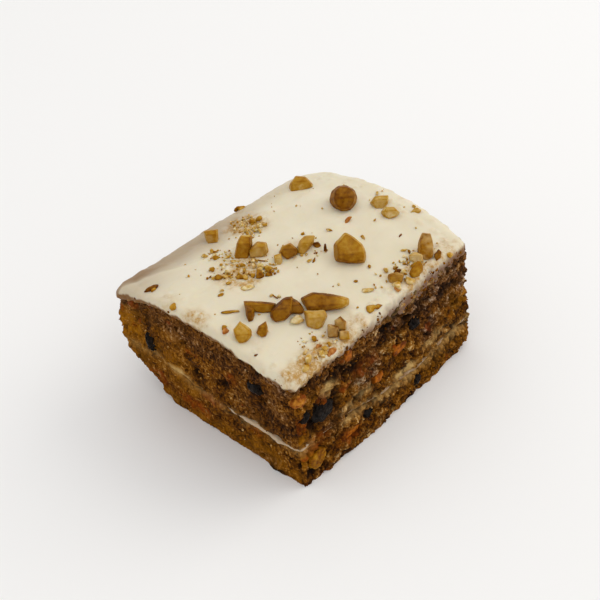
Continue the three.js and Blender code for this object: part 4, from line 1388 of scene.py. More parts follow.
@dataclass
class Frosting(Piece):
    """The frosting: a knife-smoothed top, a rounded rim and a thin smear down the sides."""

    columns: int = 760
    top_rows: int = 84
    rim_rows: int = 18
    smear_rows: int = 10
    lip: float = 0.35
    ripple: float = 0.2
    level: float = 36.0
    roundings: tuple[float, ...] = (3.2, 4.5, 6.5, 2.0)
    corner_blend: float = 0.16
    surface: Array = field(default_factory=lambda: np.zeros((1, 1, 3)))
    normals: Array = field(default_factory=lambda: np.zeros((1, 1, 2)))

    # How far the smear hangs down in mm, by share of the way round.
    drops: Knots = (
        (0.00, 1.1), (0.03, 1), (0.055, 0.9), (0.07, 1.8), (0.09, 2.2), (0.112, 2),
        (0.13, 3.2), (0.145, 4.2), (0.165, 4), (0.19, 3.4), (0.21, 3), (0.235, 1.6),
        (0.35, 1.2), (0.50, 0.8), (0.65, 1.4), (0.75, 0.1), (0.83, 0.1), (0.87, 0.6),
        (0.95, 0.7), (1.00, 1.1),
    )
    # Where crumb begins to stain the rim, and on the back where painted shade begins, in mm
    # below the top's own edge and below 0 in from it, over how many mm it takes hold, and how
    # golden it is.
    stains: Knots = (
        (0.00, 2.4, 0.9, 0.8), (0.03, 2, 1.4, 0.7), (0.07, 1.4, 3.6, 0.2),
        (0.11, 0.6, 4.2, 0.1), (0.145, 0, 5, 0), (0.17, 0, 4.4, 0),
        (0.19, 0.2, 3.6, 0), (0.21, 0.8, 3, 0.1), (0.24, 1.4, 1.2, 0.5),
        # From 0.58 to 0.745 the rows start in from the back edge: painted shade where the top
        # rounds away from the light.
        (0.35, 2.4, 1, 0.7), (0.50, 1.6, 2, 0.6), (0.58, -10, 30, 0.8),
        (0.64, -17, 33, 0.9), (0.68, -19, 35, 0.9), (0.745, -19, 36, 0.9),
        (0.757, 2.4, 1, 0.9), (0.78, 1.5, 0.8, 1), (0.86, 1.7, 0.8, 1),
        (0.93, 2, 0.8, 0.9), (0.97, 2.2, 0.8, 0.9), (1.00, 2.4, 0.9, 0.8),
    )
    # Where nut meal has rubbed into the top: x, y, reach and share.
    meal: Knots = (
        (-38.5, -31, 3.6, 0.45), (-34, -31, 4, 0.48), (-29, -30.5, 4.5, 0.46),
        (-23, -31.5, 5, 0.45),
        (-14, -32, 4.5, 0.3), (9, -29, 5, 0.36), (15, -29.5, 4, 0.4),
        (21, -29, 4, 0.34), (29, -31, 5, 0.3), (-40.5, 12, 3.5, 0.12),
        (-41.8, 1, 4.2, 0.6), (-8, 31, 3, 0.3), (5, 32, 4, 0.3),
        (-21, 4, 6, 0.6), (-14.5, 9, 6, 0.5), (-1, 20.5, 6, 0.8),
        (-3, -1, 4, 0.32), (-18.5, -29, 3, 0.34),
    )
    # Painted shade at the back-left corner of the top, where it rounds away from the light, in
    # the same four measures.
    thin: Knots = ((-38.0, 27.0, 10.0, 0.34),)
    # How torn the rim and the smear below it are, by share of the way round.
    torn_rim: Knots = (
        (0, 1), (0.02, 1), (0.2, 0.8), (0.26, 0.7), (0.48, 0.7), (0.55, 0.3), (0.9, 0.35), (1, 1),
    )
    torn_smear: Knots = ((0, 0.4), (0.02, 1), (0.22, 1), (0.3, 0.2), (1, 0.2))

    def patches(self, rows: Knots, points: Array, power: int) -> Array:
        """Sum of round patches: share times e to the minus (distance over reach) to a power.

        Args:
            rows: x, y, reach and share of each patch.
            points: places in mm.
            power: how sharp their edges are; 2 is soft.

        Returns:
            One value for each point.
        """
        x, y, reach, share = np.array(rows).T
        apart = np.hypot(points[..., 0, None] - x, points[..., 1, None] - y)
        return (share * np.exp(-((apart / reach) ** power))).sum(axis=-1)

    def rim_rounding(self, u: Array) -> Array:
        """How far the rim rounds in, blended from one side to the next at the corners.

        Args:
            u: share of the way round.

        Returns:
            The reach of the rounding in mm.
        """
        turn = (u % 1.0) * 4
        side = np.floor(turn).astype(int) % 4
        t = turn - np.floor(turn)
        sizes = np.array(self.roundings)
        own, before, after = sizes[side], sizes[side - 1], sizes[(side + 1) % 4]
        start = mix(before, own, 0.5 + 0.5 * ease(t / self.corner_blend))
        end = mix(own, after, 0.5 * ease((t - 1 + self.corner_blend) / self.corner_blend))
        return np.where(t < 0.5, start, end)

    def foot(self, x: Array, y: Array) -> Array:
        """Underside of the frosting."""
        return FORM.sponge_top(x, y) + FORM.fit_gap

    def smooth_rings(self, u: Array) -> Array:
        """Rings of the frosting before the knife has touched it.

        The top is drawn in from the rim towards the centre. The rim is a quarter of a
        squarish oval, and the smear thins to nothing where it ends.

        Args:
            u: share of the way round, for each column.

        Returns:
            The rings in mm, from the middle of the top to the smear and in under it.
        """
        guide = FORM.outline(u, np.full((1, 1), self.level))
        ripple = self.ripple * np.sin(7 * FULL_TURN * u) * np.sin(15 * FULL_TURN * u + 1)
        rim = FORM.side_point(u, self.foot(guide[..., 0], guide[..., 1]), self.lip + ripple)
        rounding = self.rim_rounding(u)[..., None]
        centre = np.array(FORM.centre)
        inner = mix(rim, centre, rounding / FORM.mean_reach)
        shares = np.linspace(0.02, 1, self.top_rows)[:, None, None]
        plan = mix(centre, inner, shares)
        top = raised(plan, FORM.frosting_top(plan[..., 0], plan[..., 1]))
        # The rim: a quarter turn from the top's edge down to the foot.
        angle = np.linspace(1, 0, self.rim_rows + 1)[1:, None] * math.pi / 2
        inset = rounding * (1 - np.cos(angle)[..., None] ** 0.9) / FORM.mean_reach
        plan = mix(rim, centre, inset)
        z = mix(
            self.foot(rim[..., 0], rim[..., 1]),
            FORM.frosting_top(inner[..., 0], inner[..., 1]),
            np.sin(angle) ** 0.85,
        )
        edge = raised(plan, z)
        line = edge[-1:]
        # The smear: from the foot down, ragged where it is torn.
        torn = between(self.torn_smear, u)
        ragged = 0.5 * rough_noise(line, 2.6, 300)
        ragged = ragged + (0.2 + 0.6 * torn) * rough_noise(line, 1.0, 310)
        drop = np.clip(between(self.drops, u) + ragged, 0.1, None)
        down = np.linspace(0, 1, self.smear_rows + 1)[1:, None]
        z = line[..., 2] - drop * down
        thin = mix(self.lip + ripple, 0.1 + 0.15 * torn, ease(down))
        smear = raised(FORM.side_point(u + 0 * down, z, thin), z)
        plan = mix(centre, rim, np.array((0.96, 0.6))[:, None, None])
        under = raised(plan, self.foot(plan[..., 0], plan[..., 1]))
        return np.concatenate([top, edge, smear, under])

    def build(self) -> Object:
        """Makes the frosting from the middle of its top, over the rim and down the smear.

        The knife leaves shallow waves along its strokes, and lumps of crumb under the
        frosting lift it near the rim of the long face.

        Returns:
            The frosting's object.
        """
        u = (np.arange(self.columns) / self.columns)[None, :]
        rings = self.smooth_rings(u)
        rows = len(rings)
        row = np.arange(rows)[:, None]
        shown = (row < rows - 2) * 1.0
        rim = (row >= self.top_rows) * shown
        # Noise that is drawn out along the knife's strokes.
        stroke = (rings * np.array([0.25, 1.0, 0.4])) @ turned(2, 28)
        from_rim = ease(1 - (self.top_rows - row) / 16)
        torn = between(self.torn_rim, u)
        meal = self.patches(self.meal, rings, 4)
        meal = np.clip(meal * (1 + 1.3 * rough_noise(rings, 1.7, 355)) * shown, 0, 0.8)
        lumps, _, lump = cells(rings, 2.3, 360)
        swell = 0.8 * ease(1.15 - 1.5 * lumps) * ease((lump - 0.35) / 0.4)
        swell = swell * np.clip(torn * from_rim + 0.9 * meal, 0, 1)
        waves = 0.2 * rough_noise(stroke, 3.4, 320, 2) + 0.14 * rough_noise(rings, 8.0, 330)
        # How far each place is below the top's edge, or in from it as a value below 0.
        top = self.top_rows - 1
        inside = (self.top_rows - row) * FORM.mean_reach / self.top_rows
        below = np.where(rim > 0, rings[top : top + 1, :, 2] - rings[..., 2], -inside)
        rings[..., 2] += (waves + swell * (1 - rim)) * shown
        push = (0.22 * rough_noise(rings, 2.2, 340) * (0.5 + torn) + 0.6 * swell) * rim
        way = FORM.outward(u + 0 * rings[..., 0], rings[..., 2])
        rings[..., :2] += way * push[..., None]
        shell = slice(self.top_rows, self.top_rows + self.rim_rows + self.smear_rows)
        self.surface, self.normals = rings[shell], way[shell]
        # The share is crumb stain on the rim, and painted shade over the back of the top and its
        # back-left corner.
        start = between(self.stains, u, 1) + 0.5 * rough_noise(rings, 2.4, 370)
        start += 0.5 * torn * rough_noise(rings, 1.0, 350) * ease(below + 1)
        share = ease((below - start) / between(self.stains, u, 2))
        share += self.patches(self.thin, rings, 2)
        warmth = between(self.stains, u, 3) + 0.3 * rough_noise(rings, 4.0, 395)
        share, warmth = (np.clip(value * shown, 0, 1) for value in (share, warmth))
        stain = np.stack([share, warmth, meal + 0.3 * swell * shown, 1 + 0 * share], axis=-1)
        return self.make(
            "frosting_spread", with_poles(rings), ring_faces(rows, self.columns),
            {"stain": with_poles(stain)}, "frosting",
        )


@dataclass(frozen=True)
class Cut:
    """One chopped block of walnut on the frosting, in mm.

    The outline is drawn on its cut face, which looks to the front of the slice and up:
    corners run anticlockwise, each across and up from the block's middle. Two facets make
    the cut face, and crest is how high they meet. tone is 0 for dark skin and 1 for pale
    flesh; skin darkens the edges that face up, and below 0 it lightens them as painted
    light from above.
    """

    piece: int               # number of the walnut piece that it is in
    x: float
    y: float
    rise: float
    outline: tuple[tuple[float, float], ...]
    tone: float
    depth: float = 4.0
    crest: float = 0.6
    # Below 0, skin lightens the faces that look up: painted light from above.
    skin: float = 0.15
    pale_end: float = 0.0    # how much paler the end to the right is
    coat: float = 0.03       # share of cream that clings to it


# A block's own directions: across its cut face to the right, out of it, and up along it.
ACROSS = np.array([math.sqrt(0.5), -math.sqrt(0.5), 0.0])
FACING = np.array([-0.545, -0.545, 0.637]) / np.linalg.norm([0.545, 0.545, 0.637])
UPWARD = np.cross(FACING, ACROSS)


def flats_shape(normals: Array, distances: Array, directions: Array, crisp: float) -> Array:
    """A body cut by flats, as a reach in each direction from its middle.

    The surface lies at one over the largest of the flats' own reaches, normal times
    direction over distance. A high power mean instead of the largest rounds the arrises.

    Args:
        normals: the flats' outward normals, one row for each.
        distances: how far each flat is from the middle.
        directions: unit directions, one row for each vertex.
        crisp: power of the mean.

    Returns:
        Places of the vertices, the flat that each lies on, and how near it is to an arris.
    """
    reach = np.clip(directions @ normals.T, 0, None) / distances
    largest = (reach**crisp).sum(axis=-1) ** (1 / crisp)
    order = np.sort(reach, axis=-1)
    near = ease((order[:, -2] / order[:, -1] - 0.86) / 0.14)
    return directions / largest[:, None], reach.argmax(axis=-1), near


@dataclass
class WalnutPieces(Piece):
    """Chopped walnut pressed into the frosting, one object for each piece."""

    rows: int = 36
    columns: int = 64
    facet_tilt: float = 20.0
    side_tilt: float = 11.0
    crisp: float = 30.0
    cuts: tuple[Cut, ...] = (
        Cut(1, 22.1, 2.7, 2.5, (
            (-2.7, -2.2), (-1.2, -3.4), (1.2, -3.4), (2.7, -2), (3.5, 0.3), (2.8, 2.2),
            (0.9, 3.4), (-1.2, 3.4), (-2.7, 2.2), (-3.4, 0.2),
        ), 0.31, depth=6.4, crest=0, skin=0.1),
        Cut(2, 5.2, -13.6, 2.8, (
            (-4, -2.7), (-0.4, -3.9), (3.4, -3.8), (3.8, -1.2), (3.1, 0.8), (0.2, 3.6),
            (-0.9, 4.1), (-3.8, 1.6),
        ), 0.4, depth=5.4, crest=-1.6, skin=-0.22, pale_end=0.16),
        Cut(3, -14, -20.7, 1.5, (
            (-4.8, -2), (-0.3, -2.3), (4.7, -1.7), (5.9, -0.9), (5.9, 0.3), (3, 1.4),
            (0.1, 2), (-2.8, 2.6), (-5.9, 1.5),
        ), 0.36, depth=3.8, crest=-0.9, skin=0.14, pale_end=0.4),
        Cut(4, -20.5, -23, 1.3, (
            (-2.3, -1.4), (-0.1, -2.3), (1.4, -1.7), (2.8, 1.1), (2.2, 2.1), (-2.5, 2.3),
        ), 0.6, depth=3.2, skin=-0.1, coat=0.3),
        Cut(5, -24.7, -14.9, 2, (
            (-1.9, -2.9), (0.8, -2.4), (2.5, -0.8), (2.8, 2.9), (0.9, 2.7), (-0.8, 1.4),
            (-2.4, 0.2), (-2.7, -1.4),
        ), 0.3, depth=3.8, crest=0.3, skin=0.2),
        Cut(5, -20.9, -16.1, 1.4, (
            (-2.5, -2), (-0.1, -1.9), (1.9, -2.2), (2.2, -1.5), (1.4, 0.3), (0.2, 1.5),
            (-1.4, 2.3), (-2.1, 2.2),
        ), 0.33, depth=3.4, crest=0.2, skin=0.2),
        Cut(6, -27, -9.3, 1, (
            (-3.6, 0.1), (0.5, -1.5), (3.1, -1.4), (4, 0.5), (2.1, 1), (-3.8, 1.8),
        ), 0.42, depth=2.6, skin=0.15),
        Cut(6, -31, -9.5, 1.2, (
            (-0.6, -0.6), (-0.3, -2), (0.7, -1.6), (0.9, 1.1), (-0.6, 2.1),
        ), 0.3, depth=3.8),
        Cut(7, -37.2, -12.9, 1.6, (
            (-1.8, -1), (-0.9, -2.5), (0.8, -2.2), (2, -0.7), (2, 0.6), (-0.4, 2.6),
            (-2, 0.9),
        ), 0.62, depth=2.8, crest=-0.4, skin=-0.05),
        Cut(8, -32.7, -15.4, 1, (
            (0, -1.8), (0.8, -1.6), (1.3, 0.4), (1, 1.8), (-0.7, 0.9), (-1.3, -0.6),
        ), 0.42, depth=2.2),
        Cut(9, 24.1, 21.7, 1.3, (
            (-3.2, -2), (-0.6, -2.4), (3.4, -1.1), (3.3, -0.2), (1.5, 2), (-1.1, 2.4),
            (-3, 0.4),
        ), 0.66, depth=4.2, crest=0.6, skin=0.1, coat=0.08),
        Cut(10, 29, -5.2, 1.1, (
            (-1.3, -1.8), (0.6, -2), (2.2, -0.3), (2.5, 1.7), (-1.1, 1.7), (-2.4, 0.1),
        ), 0.76, depth=3, skin=0.1, coat=0.14),
        Cut(11, 27.1, -10.7, 0.9, (
            (-2.1, -0.7), (-0.7, -1.6), (1.2, -1.2), (2.4, 0), (1.1, 1.5), (-1.2, 1.8),
            (-2.3, 0.7),
        ), 0.74, depth=2.8, skin=0),
        Cut(12, -11.6, 24.7, 1.2, (
            (-0.9, -2), (1.8, -1.8), (1.7, 1.9), (-1.8, 1.8),
        ), 0.5, depth=3, skin=0.05, coat=0.22),
        Cut(13, -13.1, 10, 2, (
            (-2.3, -2.8), (-0.6, -3.1), (1.1, -2.9), (2.3, 0.2), (2.4, 3), (-0.1, 3.2),
            (-1.3, 1.3),
        ), 0.36, depth=3.6, crest=0.9, skin=-0.3),
        Cut(14, -10.6, 6.5, 1.2, (
            (-2.4, -1.9), (1, -2), (2.4, -0.5), (2.2, 1.7), (0, 2.1), (-2.4, 0.2),
        ), 0.6, depth=3.2, skin=0.05, coat=0.24),
        Cut(15, -1, -2.6, 1.6, (
            (-2.2, -1.6), (-0.7, -2.5), (0.4, -1.2), (2, 0.7), (2.5, 2.4), (0.1, 2.6),
            (-1.5, 1.3),
        ), 0.6, depth=2.8, skin=0.05, coat=0.16),
        Cut(15, 2.3, -3.6, 0.4, (
            (-0.2, -1), (1.2, -0.2), (0.6, 0.9), (-1.1, 0.8),
        ), 0.3, depth=1.6),
        Cut(16, -5.5, -0.1, 1.2, (
            (-0.4, -2.1), (2.2, -0.9), (2.3, 0.5), (0.7, 2), (-1.4, 1.5), (-2.3, -0.1),
        ), 0.33, depth=3, skin=-0.2),
        Cut(16, -9.7, -0.1, 0.6, (
            (-0.9, -0.7), (0.1, -1.9), (1.1, 0.2), (0.7, 1.8), (-1, 1.5),
        ), 0.8, depth=1.6),
        Cut(17, 21.4, -27.3, 2.4, (
            (-2.2, -2.1), (-0.3, -3.6), (1.7, -2.8), (2, 0.7), (1.6, 3.4), (-0.3, 3.7),
            (-1.3, 2),
        ), 0.42, depth=3.2, crest=-0.6, skin=0.05, coat=0.34),
        Cut(17, 22.4, -30.8, 1, (
            (-0.6, -1.5), (0.6, -0.6), (1, 0.8), (0.4, 1.5), (-0.9, 0.3),
        ), 0.33, depth=1.6),
        Cut(18, 17.2, -26.9, 0.8, (
            (-1.6, -0.6), (0.2, -1.6), (2, -1.2), (1.8, 0.6), (0.1, 1.5), (-1.4, 0.8),
        ), 0.9, depth=2.4, coat=0.75),
        Cut(19, -19.9, -28.2, 1.2, (
            (-1.3, -1.4), (1, -1.6), (1.4, 0.9), (-0.9, 1.5),
        ), 0.28, depth=2.6, coat=0.4),
        Cut(19, -17, -28.2, 1.3, (
            (-1.2, -1.2), (1.1, -1.4), (1.4, 0.6), (0.2, 1.8), (-1.2, 1),
        ), 0.46, depth=2.4, coat=0.4),
        Cut(19, -18.9, -31, 0.8, (
            (-1.2, -1), (1.3, -1.1), (1.2, 0.8), (-1, 1),
        ), 0.5, depth=2.2, coat=0.5),
        Cut(20, 7.2, -27.6, 0.9, (
            (-1.9, -0.8), (-0.4, -1.8), (1.6, -1.2), (2.2, 0.6), (0.4, 1.4), (-1.6, 1),
        ), 0.44, depth=2.6, skin=0.1, coat=0.25),
    )

    def flats(self, cut: Cut) -> tuple[Array, Array]:
        """Normals and distances of a block's flats.

        Each side of the outline is a flat that leans back from the cut face, and the cut
        face is two flats that meet at the crest.

        Args:
            cut: the block.

        Returns:
            One normal and one distance for each side, the two facets and the back.
        """
        corners = np.array(cut.outline)
        along = np.roll(corners, -1, axis=0) - corners
        sides = np.stack([along[:, 1], -along[:, 0]], axis=-1)
        sides /= np.linalg.norm(sides, axis=-1, keepdims=True)
        lean = math.radians(self.side_tilt)
        half = cut.depth / 2
        normals = math.cos(lean) * (sides @ np.stack([ACROSS, UPWARD])) + math.sin(lean) * FACING
        distances = math.cos(lean) * (sides * corners).sum(axis=-1) + 0.4 * math.sin(lean) * half
        tilt = math.radians(self.facet_tilt)
        facets = [math.cos(tilt) * FACING + sign * math.sin(tilt) * UPWARD for sign in (1, -1)]
        depths = [half * math.cos(tilt) + sign * cut.crest * math.sin(tilt) for sign in (1, -1)]
        return (
            np.concatenate([normals, facets, [-FACING]]),
            np.maximum(np.concatenate([distances, depths, [half]]), 0.3),
        )

    def block(self, cut: Cut) -> tuple[Array, Array, Array]:
        """Vertices, tones and cream of one block, with a fine grain on its flats.

        Args:
            cut: the block.

        Returns:
            Places in mm, tones and shares of cream, one row for each vertex.
        """
        spread = np.ptp(np.array(cut.outline), axis=0) / 2
        ball = ball_directions(self.rows, self.columns)
        stretched = ball * np.array([spread[0], cut.depth / 2, spread[1]])
        ways = stretched @ np.stack([ACROSS, -FACING, UPWARD])
        ways /= np.linalg.norm(ways, axis=-1, keepdims=True)
        normals, distances = self.flats(cut)
        shape, face, near = flats_shape(normals, distances, ways, self.crisp)
        grain = rough_noise(shape + 7.0 * cut.x, 1.3, 400)
        shape = shape + ways * (0.1 * grain - 0.06 * near)[:, None]
        facing_up = np.clip((normals @ UPWARD)[face], 0, 1)
        own = scatter(cut.x, 40.0 + face) - 0.5
        # Skin darkens the faces that look up; where skin is below 0 they are painted lighter, as
        # light from above.
        tone = cut.tone + 0.14 * own + 0.1 * grain - cut.skin * facing_up - 0.15 * near
        tone = tone + cut.pale_end * ease((shape @ ACROSS / spread[0] - 0.3) / 0.6)
        coat = cut.coat * (0.9 + 1.6 * rough_noise(shape + 3.0 * cut.y, 1.7, 405))
        rest = float(FORM.frosting_top(np.array(cut.x), np.array(cut.y)))
        middle = np.array([cut.x, cut.y, rest + cut.rise])
        return shape + middle, tone, np.clip(coat, 0, 0.85)

    def build(self) -> list[Object]:
        """Makes every piece of walnut.

        Returns:
            One object for each piece.
        """
        made = []
        faces = ring_faces(self.rows, self.columns)
        count = self.rows * self.columns + 2
        for number in range(1, self.cuts[-1].piece + 1):
            blocks = [self.block(cut) for cut in self.cuts if cut.piece == number]
            shapes, tones, coats = zip(*blocks)
            each = [part + k * count for k in range(len(blocks)) for part in faces]
            made.append(self.make(
                f"walnut_piece_{number}", np.concatenate(shapes), each,
                {"tone": np.concatenate(tones), "coat": np.concatenate(coats)},
                f"walnut_{number}",
            ))
        return made


def seeded_flats(seed: int, flats: int) -> tuple[Array, Array]:
    """Flats at seeded distances, spread over a ball on a spiral, and a block's six faces.

    Args:
        seed: picks the spiral's turn and the distances.
        flats: how many lie on the spiral.

    Returns:
        Normals and distances, one row for each flat.
    """
    k = np.arange(flats)
    level = 0.86 - 1.72 * (k + 0.5) / flats
    turn = 2.4 * k + 6.28 * scatter(seed, 3)
    wide = np.sqrt(1 - level**2)
    normals = np.stack([wide * np.cos(turn), wide * np.sin(turn), level], axis=-1)
    distances = np.concatenate([0.84 + 0.34 * scatter(seed, 11 + k), np.ones(6)])
    return np.concatenate([normals, np.eye(3), -np.eye(3)]), distances


@dataclass
class FaceBits(Piece):
    """Pieces that lie in the cut faces: fruit, carrot or nut, one object for each."""

    bits: tuple[Inclusion, ...] = RAISINS
    puckered: bool = True
    puckers: int = 5
    flats: int = 7
    crisp: float = 10.0
    rows: int = 36
    columns: int = 60

    def build(self) -> list[Object]:
        """Makes every piece: a puckered ball, or a chopped block with worn arrises.

        Returns:
            One object for each piece.
        """
        directions = ball_directions(self.rows, self.columns)
        made = []
        for bit in self.bits:
            if self.puckered:
                x, y, z = directions.T
                folds = self.puckers * np.arctan2(y, x) + 6 * scatter(bit.seed, 5) + 2 * z
                creases = np.abs(rough_noise(directions * 3.0 + bit.seed, 1.3, 500))
                radius = 0.99 + 0.05 * np.sin(folds) - 0.16 * ease(1 - 3 * creases)
                shape = directions * radius[:, None]
            else:
                flats = seeded_flats(bit.seed, self.flats)
                shape, _, _ = flats_shape(*flats, directions, self.crisp)
            grain = rough_noise(shape * 2.5 + bit.seed, 1.0, 510)
            shape = shape * (1 + 0.07 * grain[:, None])
            shape = shape * np.array([bit.length, bit.width, bit.height]) / 2
            place, along, out = FORM.face_place(bit.side, bit.along, bit.z)
            axes = np.stack([along, -out, np.array([0.0, 0.0, 1.0])])
            made.append(self.make(
                f"{bit.node}_piece", shape @ axes + place + out * bit.proud,
                ring_faces(self.rows, self.columns), {"tone": 0.28 + 0.3 * grain}, bit.node,
            ))
        return made


@dataclass(frozen=True)
class Drift:
    """A drift of nut crumbs: its middle, its reaches in mm, its direction and its crumbs.

    fine crumbs come on top of the ones that each crumb has round it, and low and high are
    the darkest and palest tone.
    """

    x: float
    y: float
    along: float
    across: float
    turn: float
    count: int
    size: float
    fine: int = 0
    low: float = 0.3
    high: float = 1.0


def random_spins(chance: np.random.Generator, count: int) -> Array:
    """Rotation matrices spread evenly over all turns, from unit quaternions.

    Args:
        chance: the seeded source of chance.
        count: how many.

    Returns:
        An array of count matrices.
    """
    quarter = chance.normal(size=(count, 4))
    w, x, y, z = (quarter / np.linalg.norm(quarter, axis=1, keepdims=True)).T
    rows = [
        1 - 2 * (y * y + z * z), 2 * (x * y - w * z), 2 * (x * z + w * y),
        2 * (x * y + w * z), 1 - 2 * (x * x + z * z), 2 * (y * z - w * x),
        2 * (x * z - w * y), 2 * (y * z + w * x), 1 - 2 * (x * x + y * y),
    ]
    return np.stack(rows, axis=-1).reshape(-1, 3, 3)


@dataclass
class Scattered(Piece):
    """Many small rough bits of one kind, joined in one mesh."""

    name: str = "bits"
    rows: int = 5
    columns: int = 8
    seed: int = 1
    flats: int = 9
    crisp: int = 10

    def cloud(
        self, places: Array, sizes: Array, spins: Array, colours: dict[str, Array]
    ) -> Object:
        """Makes one small chip with a few seeded flats at each place.

        Its reach is a power mean of the flats' own, and none is longer than 1.25 of its size.

        Args:
            places: middles in mm, one row for each bit.
            sizes: full sizes in mm, three for each bit.
            spins: rotation matrices, one for each bit.
            colours: the finish's attributes, one row for each bit.

        Returns:
            The joined object.
        """
        chance = np.random.default_rng(self.seed)
        directions = ball_directions(self.rows, self.columns)
        flats = chance.normal(size=(len(places), self.flats, 3))
        flats /= np.linalg.norm(flats, axis=-1, keepdims=True)
        depth = chance.uniform(0.35, 1.0, size=(len(places), self.flats))
        reach = np.clip(np.einsum("vk,nfk->nvf", directions, flats), 0, None) / depth[:, None]
        radius = 1 / np.maximum((reach**self.crisp).sum(axis=-1) ** (1 / self.crisp), 0.8)
        shapes = directions[None] * radius[..., None] * sizes[:, None] / 2
        shapes = np.einsum("nvk,njk->nvj", shapes, spins) + places[:, None]
        count = directions.shape[0]
        mottled = 0.22 * rough_noise(shapes.reshape(-1, 3), 0.8, 600 + self.seed)
        step = np.arange(len(places))[:, None, None] * count
        faces = [
            (part[None] + step).reshape(-1, part.shape[1])
            for part in ring_faces(self.rows, self.columns)
        ]
        own = {name: np.repeat(values, count, axis=0) for name, values in colours.items()}
        first = next(iter(own))
        own[first].reshape(len(mottled), -1)[:, 0] += mottled
        return self.make(self.name, shapes.reshape(-1, 3), faces, own)


@dataclass(frozen=True)
class Chip:
    """One small bit that lies on the frosting, in mm and degrees; tone as for a block.

    sink is how far it lies below the level of the top, where the rim rounds off.
    """

    x: float
    y: float
    length: float
    width: float
    turn: float
    tone: float
    height: float = 1.0
    sink: float = 0.0


def chips(*rows: tuple[float, ...]) -> tuple[Chip, ...]:
    """Small bits, one for each row of measures."""
    return tuple(Chip(*row) for row in rows)


@dataclass
class Chips(Scattered):
    """Small bits at their own places on the frosting, lying flat."""

    name: str = "walnut_chips"
    rows: int = 9
    columns: int = 14
    spare: float = 1.15          # makes up for what the flats cut off
    bits: tuple[Chip, ...] = chips(
        (13.1, -29.4, 5.2, 3.4, 20, 0.42, 2.6), (10.6, -26, 2.2, 1.4, -20, 0.02, 1.2),
        (15.4, -28.4, 2.4, 2.2, 60, 0.5, 1.6), (5.2, -29.6, 3.4, 2.4, 10, 0.85, 1.6),
        (9.8, -30.2, 3, 2.2, -30, 0.8, 1.6, 0.25), (-6.3, -29.7, 3, 2.6, 30, 0.6, 1.6),
        (-4, -30.5, 2, 1.4, 0, 0.42, 1.2, 0.4), (-1, -24.5, 3.4, 1.6, -35, 0.84, 0.8),
        (-0.8, -20.4, 1.2, 1, 0, 0.45, 0.7), (-2.8, -7.2, 2.4, 0.6, 30, 0.15, 0.5),
        (-3.6, -6.4, 1.8, 1, 0, 0.75, 0.6), (-20.6, -8.8, 2.6, 0.6, 80, 0.3, 0.6),
        (-21.2, -8, 1.6, 0.8, 10, 0.7, 0.7), (-23.4, -18.6, 3.6, 2.6, -40, 0.9, 1.6),
        (-32.6, -4.4, 3.9, 1.2, -42, 0.42, 0.9), (-32.2, -4.9, 3.4, 0.8, -44, 0.75, 0.9),
        (-37.6, 20.9, 4.2, 1.6, -18, 0.12, 1.2), (-38, 20.2, 2, 1.1, 40, 0.4, 1),
        (-24.9, 7.6, 2.6, 1.8, 20, 0.36, 1.5), (-24, 6.4, 1.8, 1.2, -30, 0.66, 1.1),
        (-25.6, 8.8, 1.6, 1.4, 50, 0.72, 1), (-21.7, 3.1, 2.4, 1.8, -30, 0.4, 1.4),
        (-20.6, 2, 1.6, 1.4, 10, 0.62, 1.1), (-17.5, -0.3, 3.2, 2.6, -40, 0.3, 2.4),
        (-18.9, 0.9, 1.6, 1.4, 20, 0.5, 1.4), (-15.4, -2.3, 1.8, 1.4, -30, 0.25, 1.3),
        (-23, -1.4, 3.4, 2.2, -45, 0.88, 1), (-29.7, 1.8, 1.8, 1, -30, 0.45, 0.8),
        (-38, -6.9, 1.8, 1.2, 0, 0.55, 1), (-14.3, 5.6, 2.2, 0.9, -20, 0.32, 0.8),
        (-12.2, 3.4, 2.2, 0.8, -50, 0.36, 0.7), (-17, 18, 3.2, 0.8, -40, 0.42, 0.8),
        (-17.6, 17, 2, 1.2, 10, 0.85, 0.8), (-16.8, 12.6, 2.6, 1.4, -20, 0.74, 1),
        (-17.1, 9.4, 2.8, 1.6, -30, 0.7, 1), (2.7, -6.3, 1.2, 0.8, -40, 0.08, 2.6),
        (6.6, 31.2, 3.8, 2.4, 20, 0.6, 1.8, 0.5), (6.6, 31.8, 3.4, 0.7, 10, 0.3, 2.4, 0.6),
        (26.6, -31.5, 2.4, 1.6, 0, 0.66, 1.6, 1.1), (22.4, -17.6, 1.4, 0.7, 10, 0.3, 0.5),
        (18, -22.4, 2.6, 1.2, -30, 0.8, 0.7), (-38.9, -19, 1.2, 0.7, 0, 0.05, 0.6),
        (32.8, -1.2, 1.8, 1, 30, 0.8, 0.8), (33.6, -14.6, 2.6, 1.6, -60, 0.76, 1.4),
        (35, -13.4, 1.6, 1.2, 0, 0.55, 1.2), (-31.4, -29.4, 2.6, 1.8, 20, 0.84, 1.4),
        (-33.9, -30.7, 2.4, 1.8, -40, 0.82, 1.4, 0.4),
        (-27.6, -30.8, 2.2, 1.8, 60, 0.8, 1.3, 0.5), (-25.4, -30, 1.8, 1.2, 0, 0.7, 1.2, 0.15),
        (-40.6, 9, 2.4, 1.7, 0, 0.56, 1.4, 0.35),
    )

    def build(self) -> Object:
        """Lays each bit on the frosting, a third of it pressed in.

        Returns:
            The joined bits.
        """
        x, y, length, width, turn, tone, height, sink = np.array(
            [[c.x, c.y, c.length, c.width, c.turn, c.tone, c.height, c.sink] for c in self.bits]
        ).T
        chance = np.random.default_rng(self.seed)
        lean = chance.uniform(-14, 14, size=(2, len(x)))
        spins = np.stack(
            [turned(2, t) @ turned(0, a) @ turned(1, b) for t, a, b in zip(turn, *lean)]
        )
        places = np.stack([x, y, FORM.frosting_top(x, y) + 0.2 * height - sink], axis=-1)
        sizes = self.spare * np.stack([length, width, height], axis=-1)
        return self.cloud(places, sizes, spins, {"tone": tone})


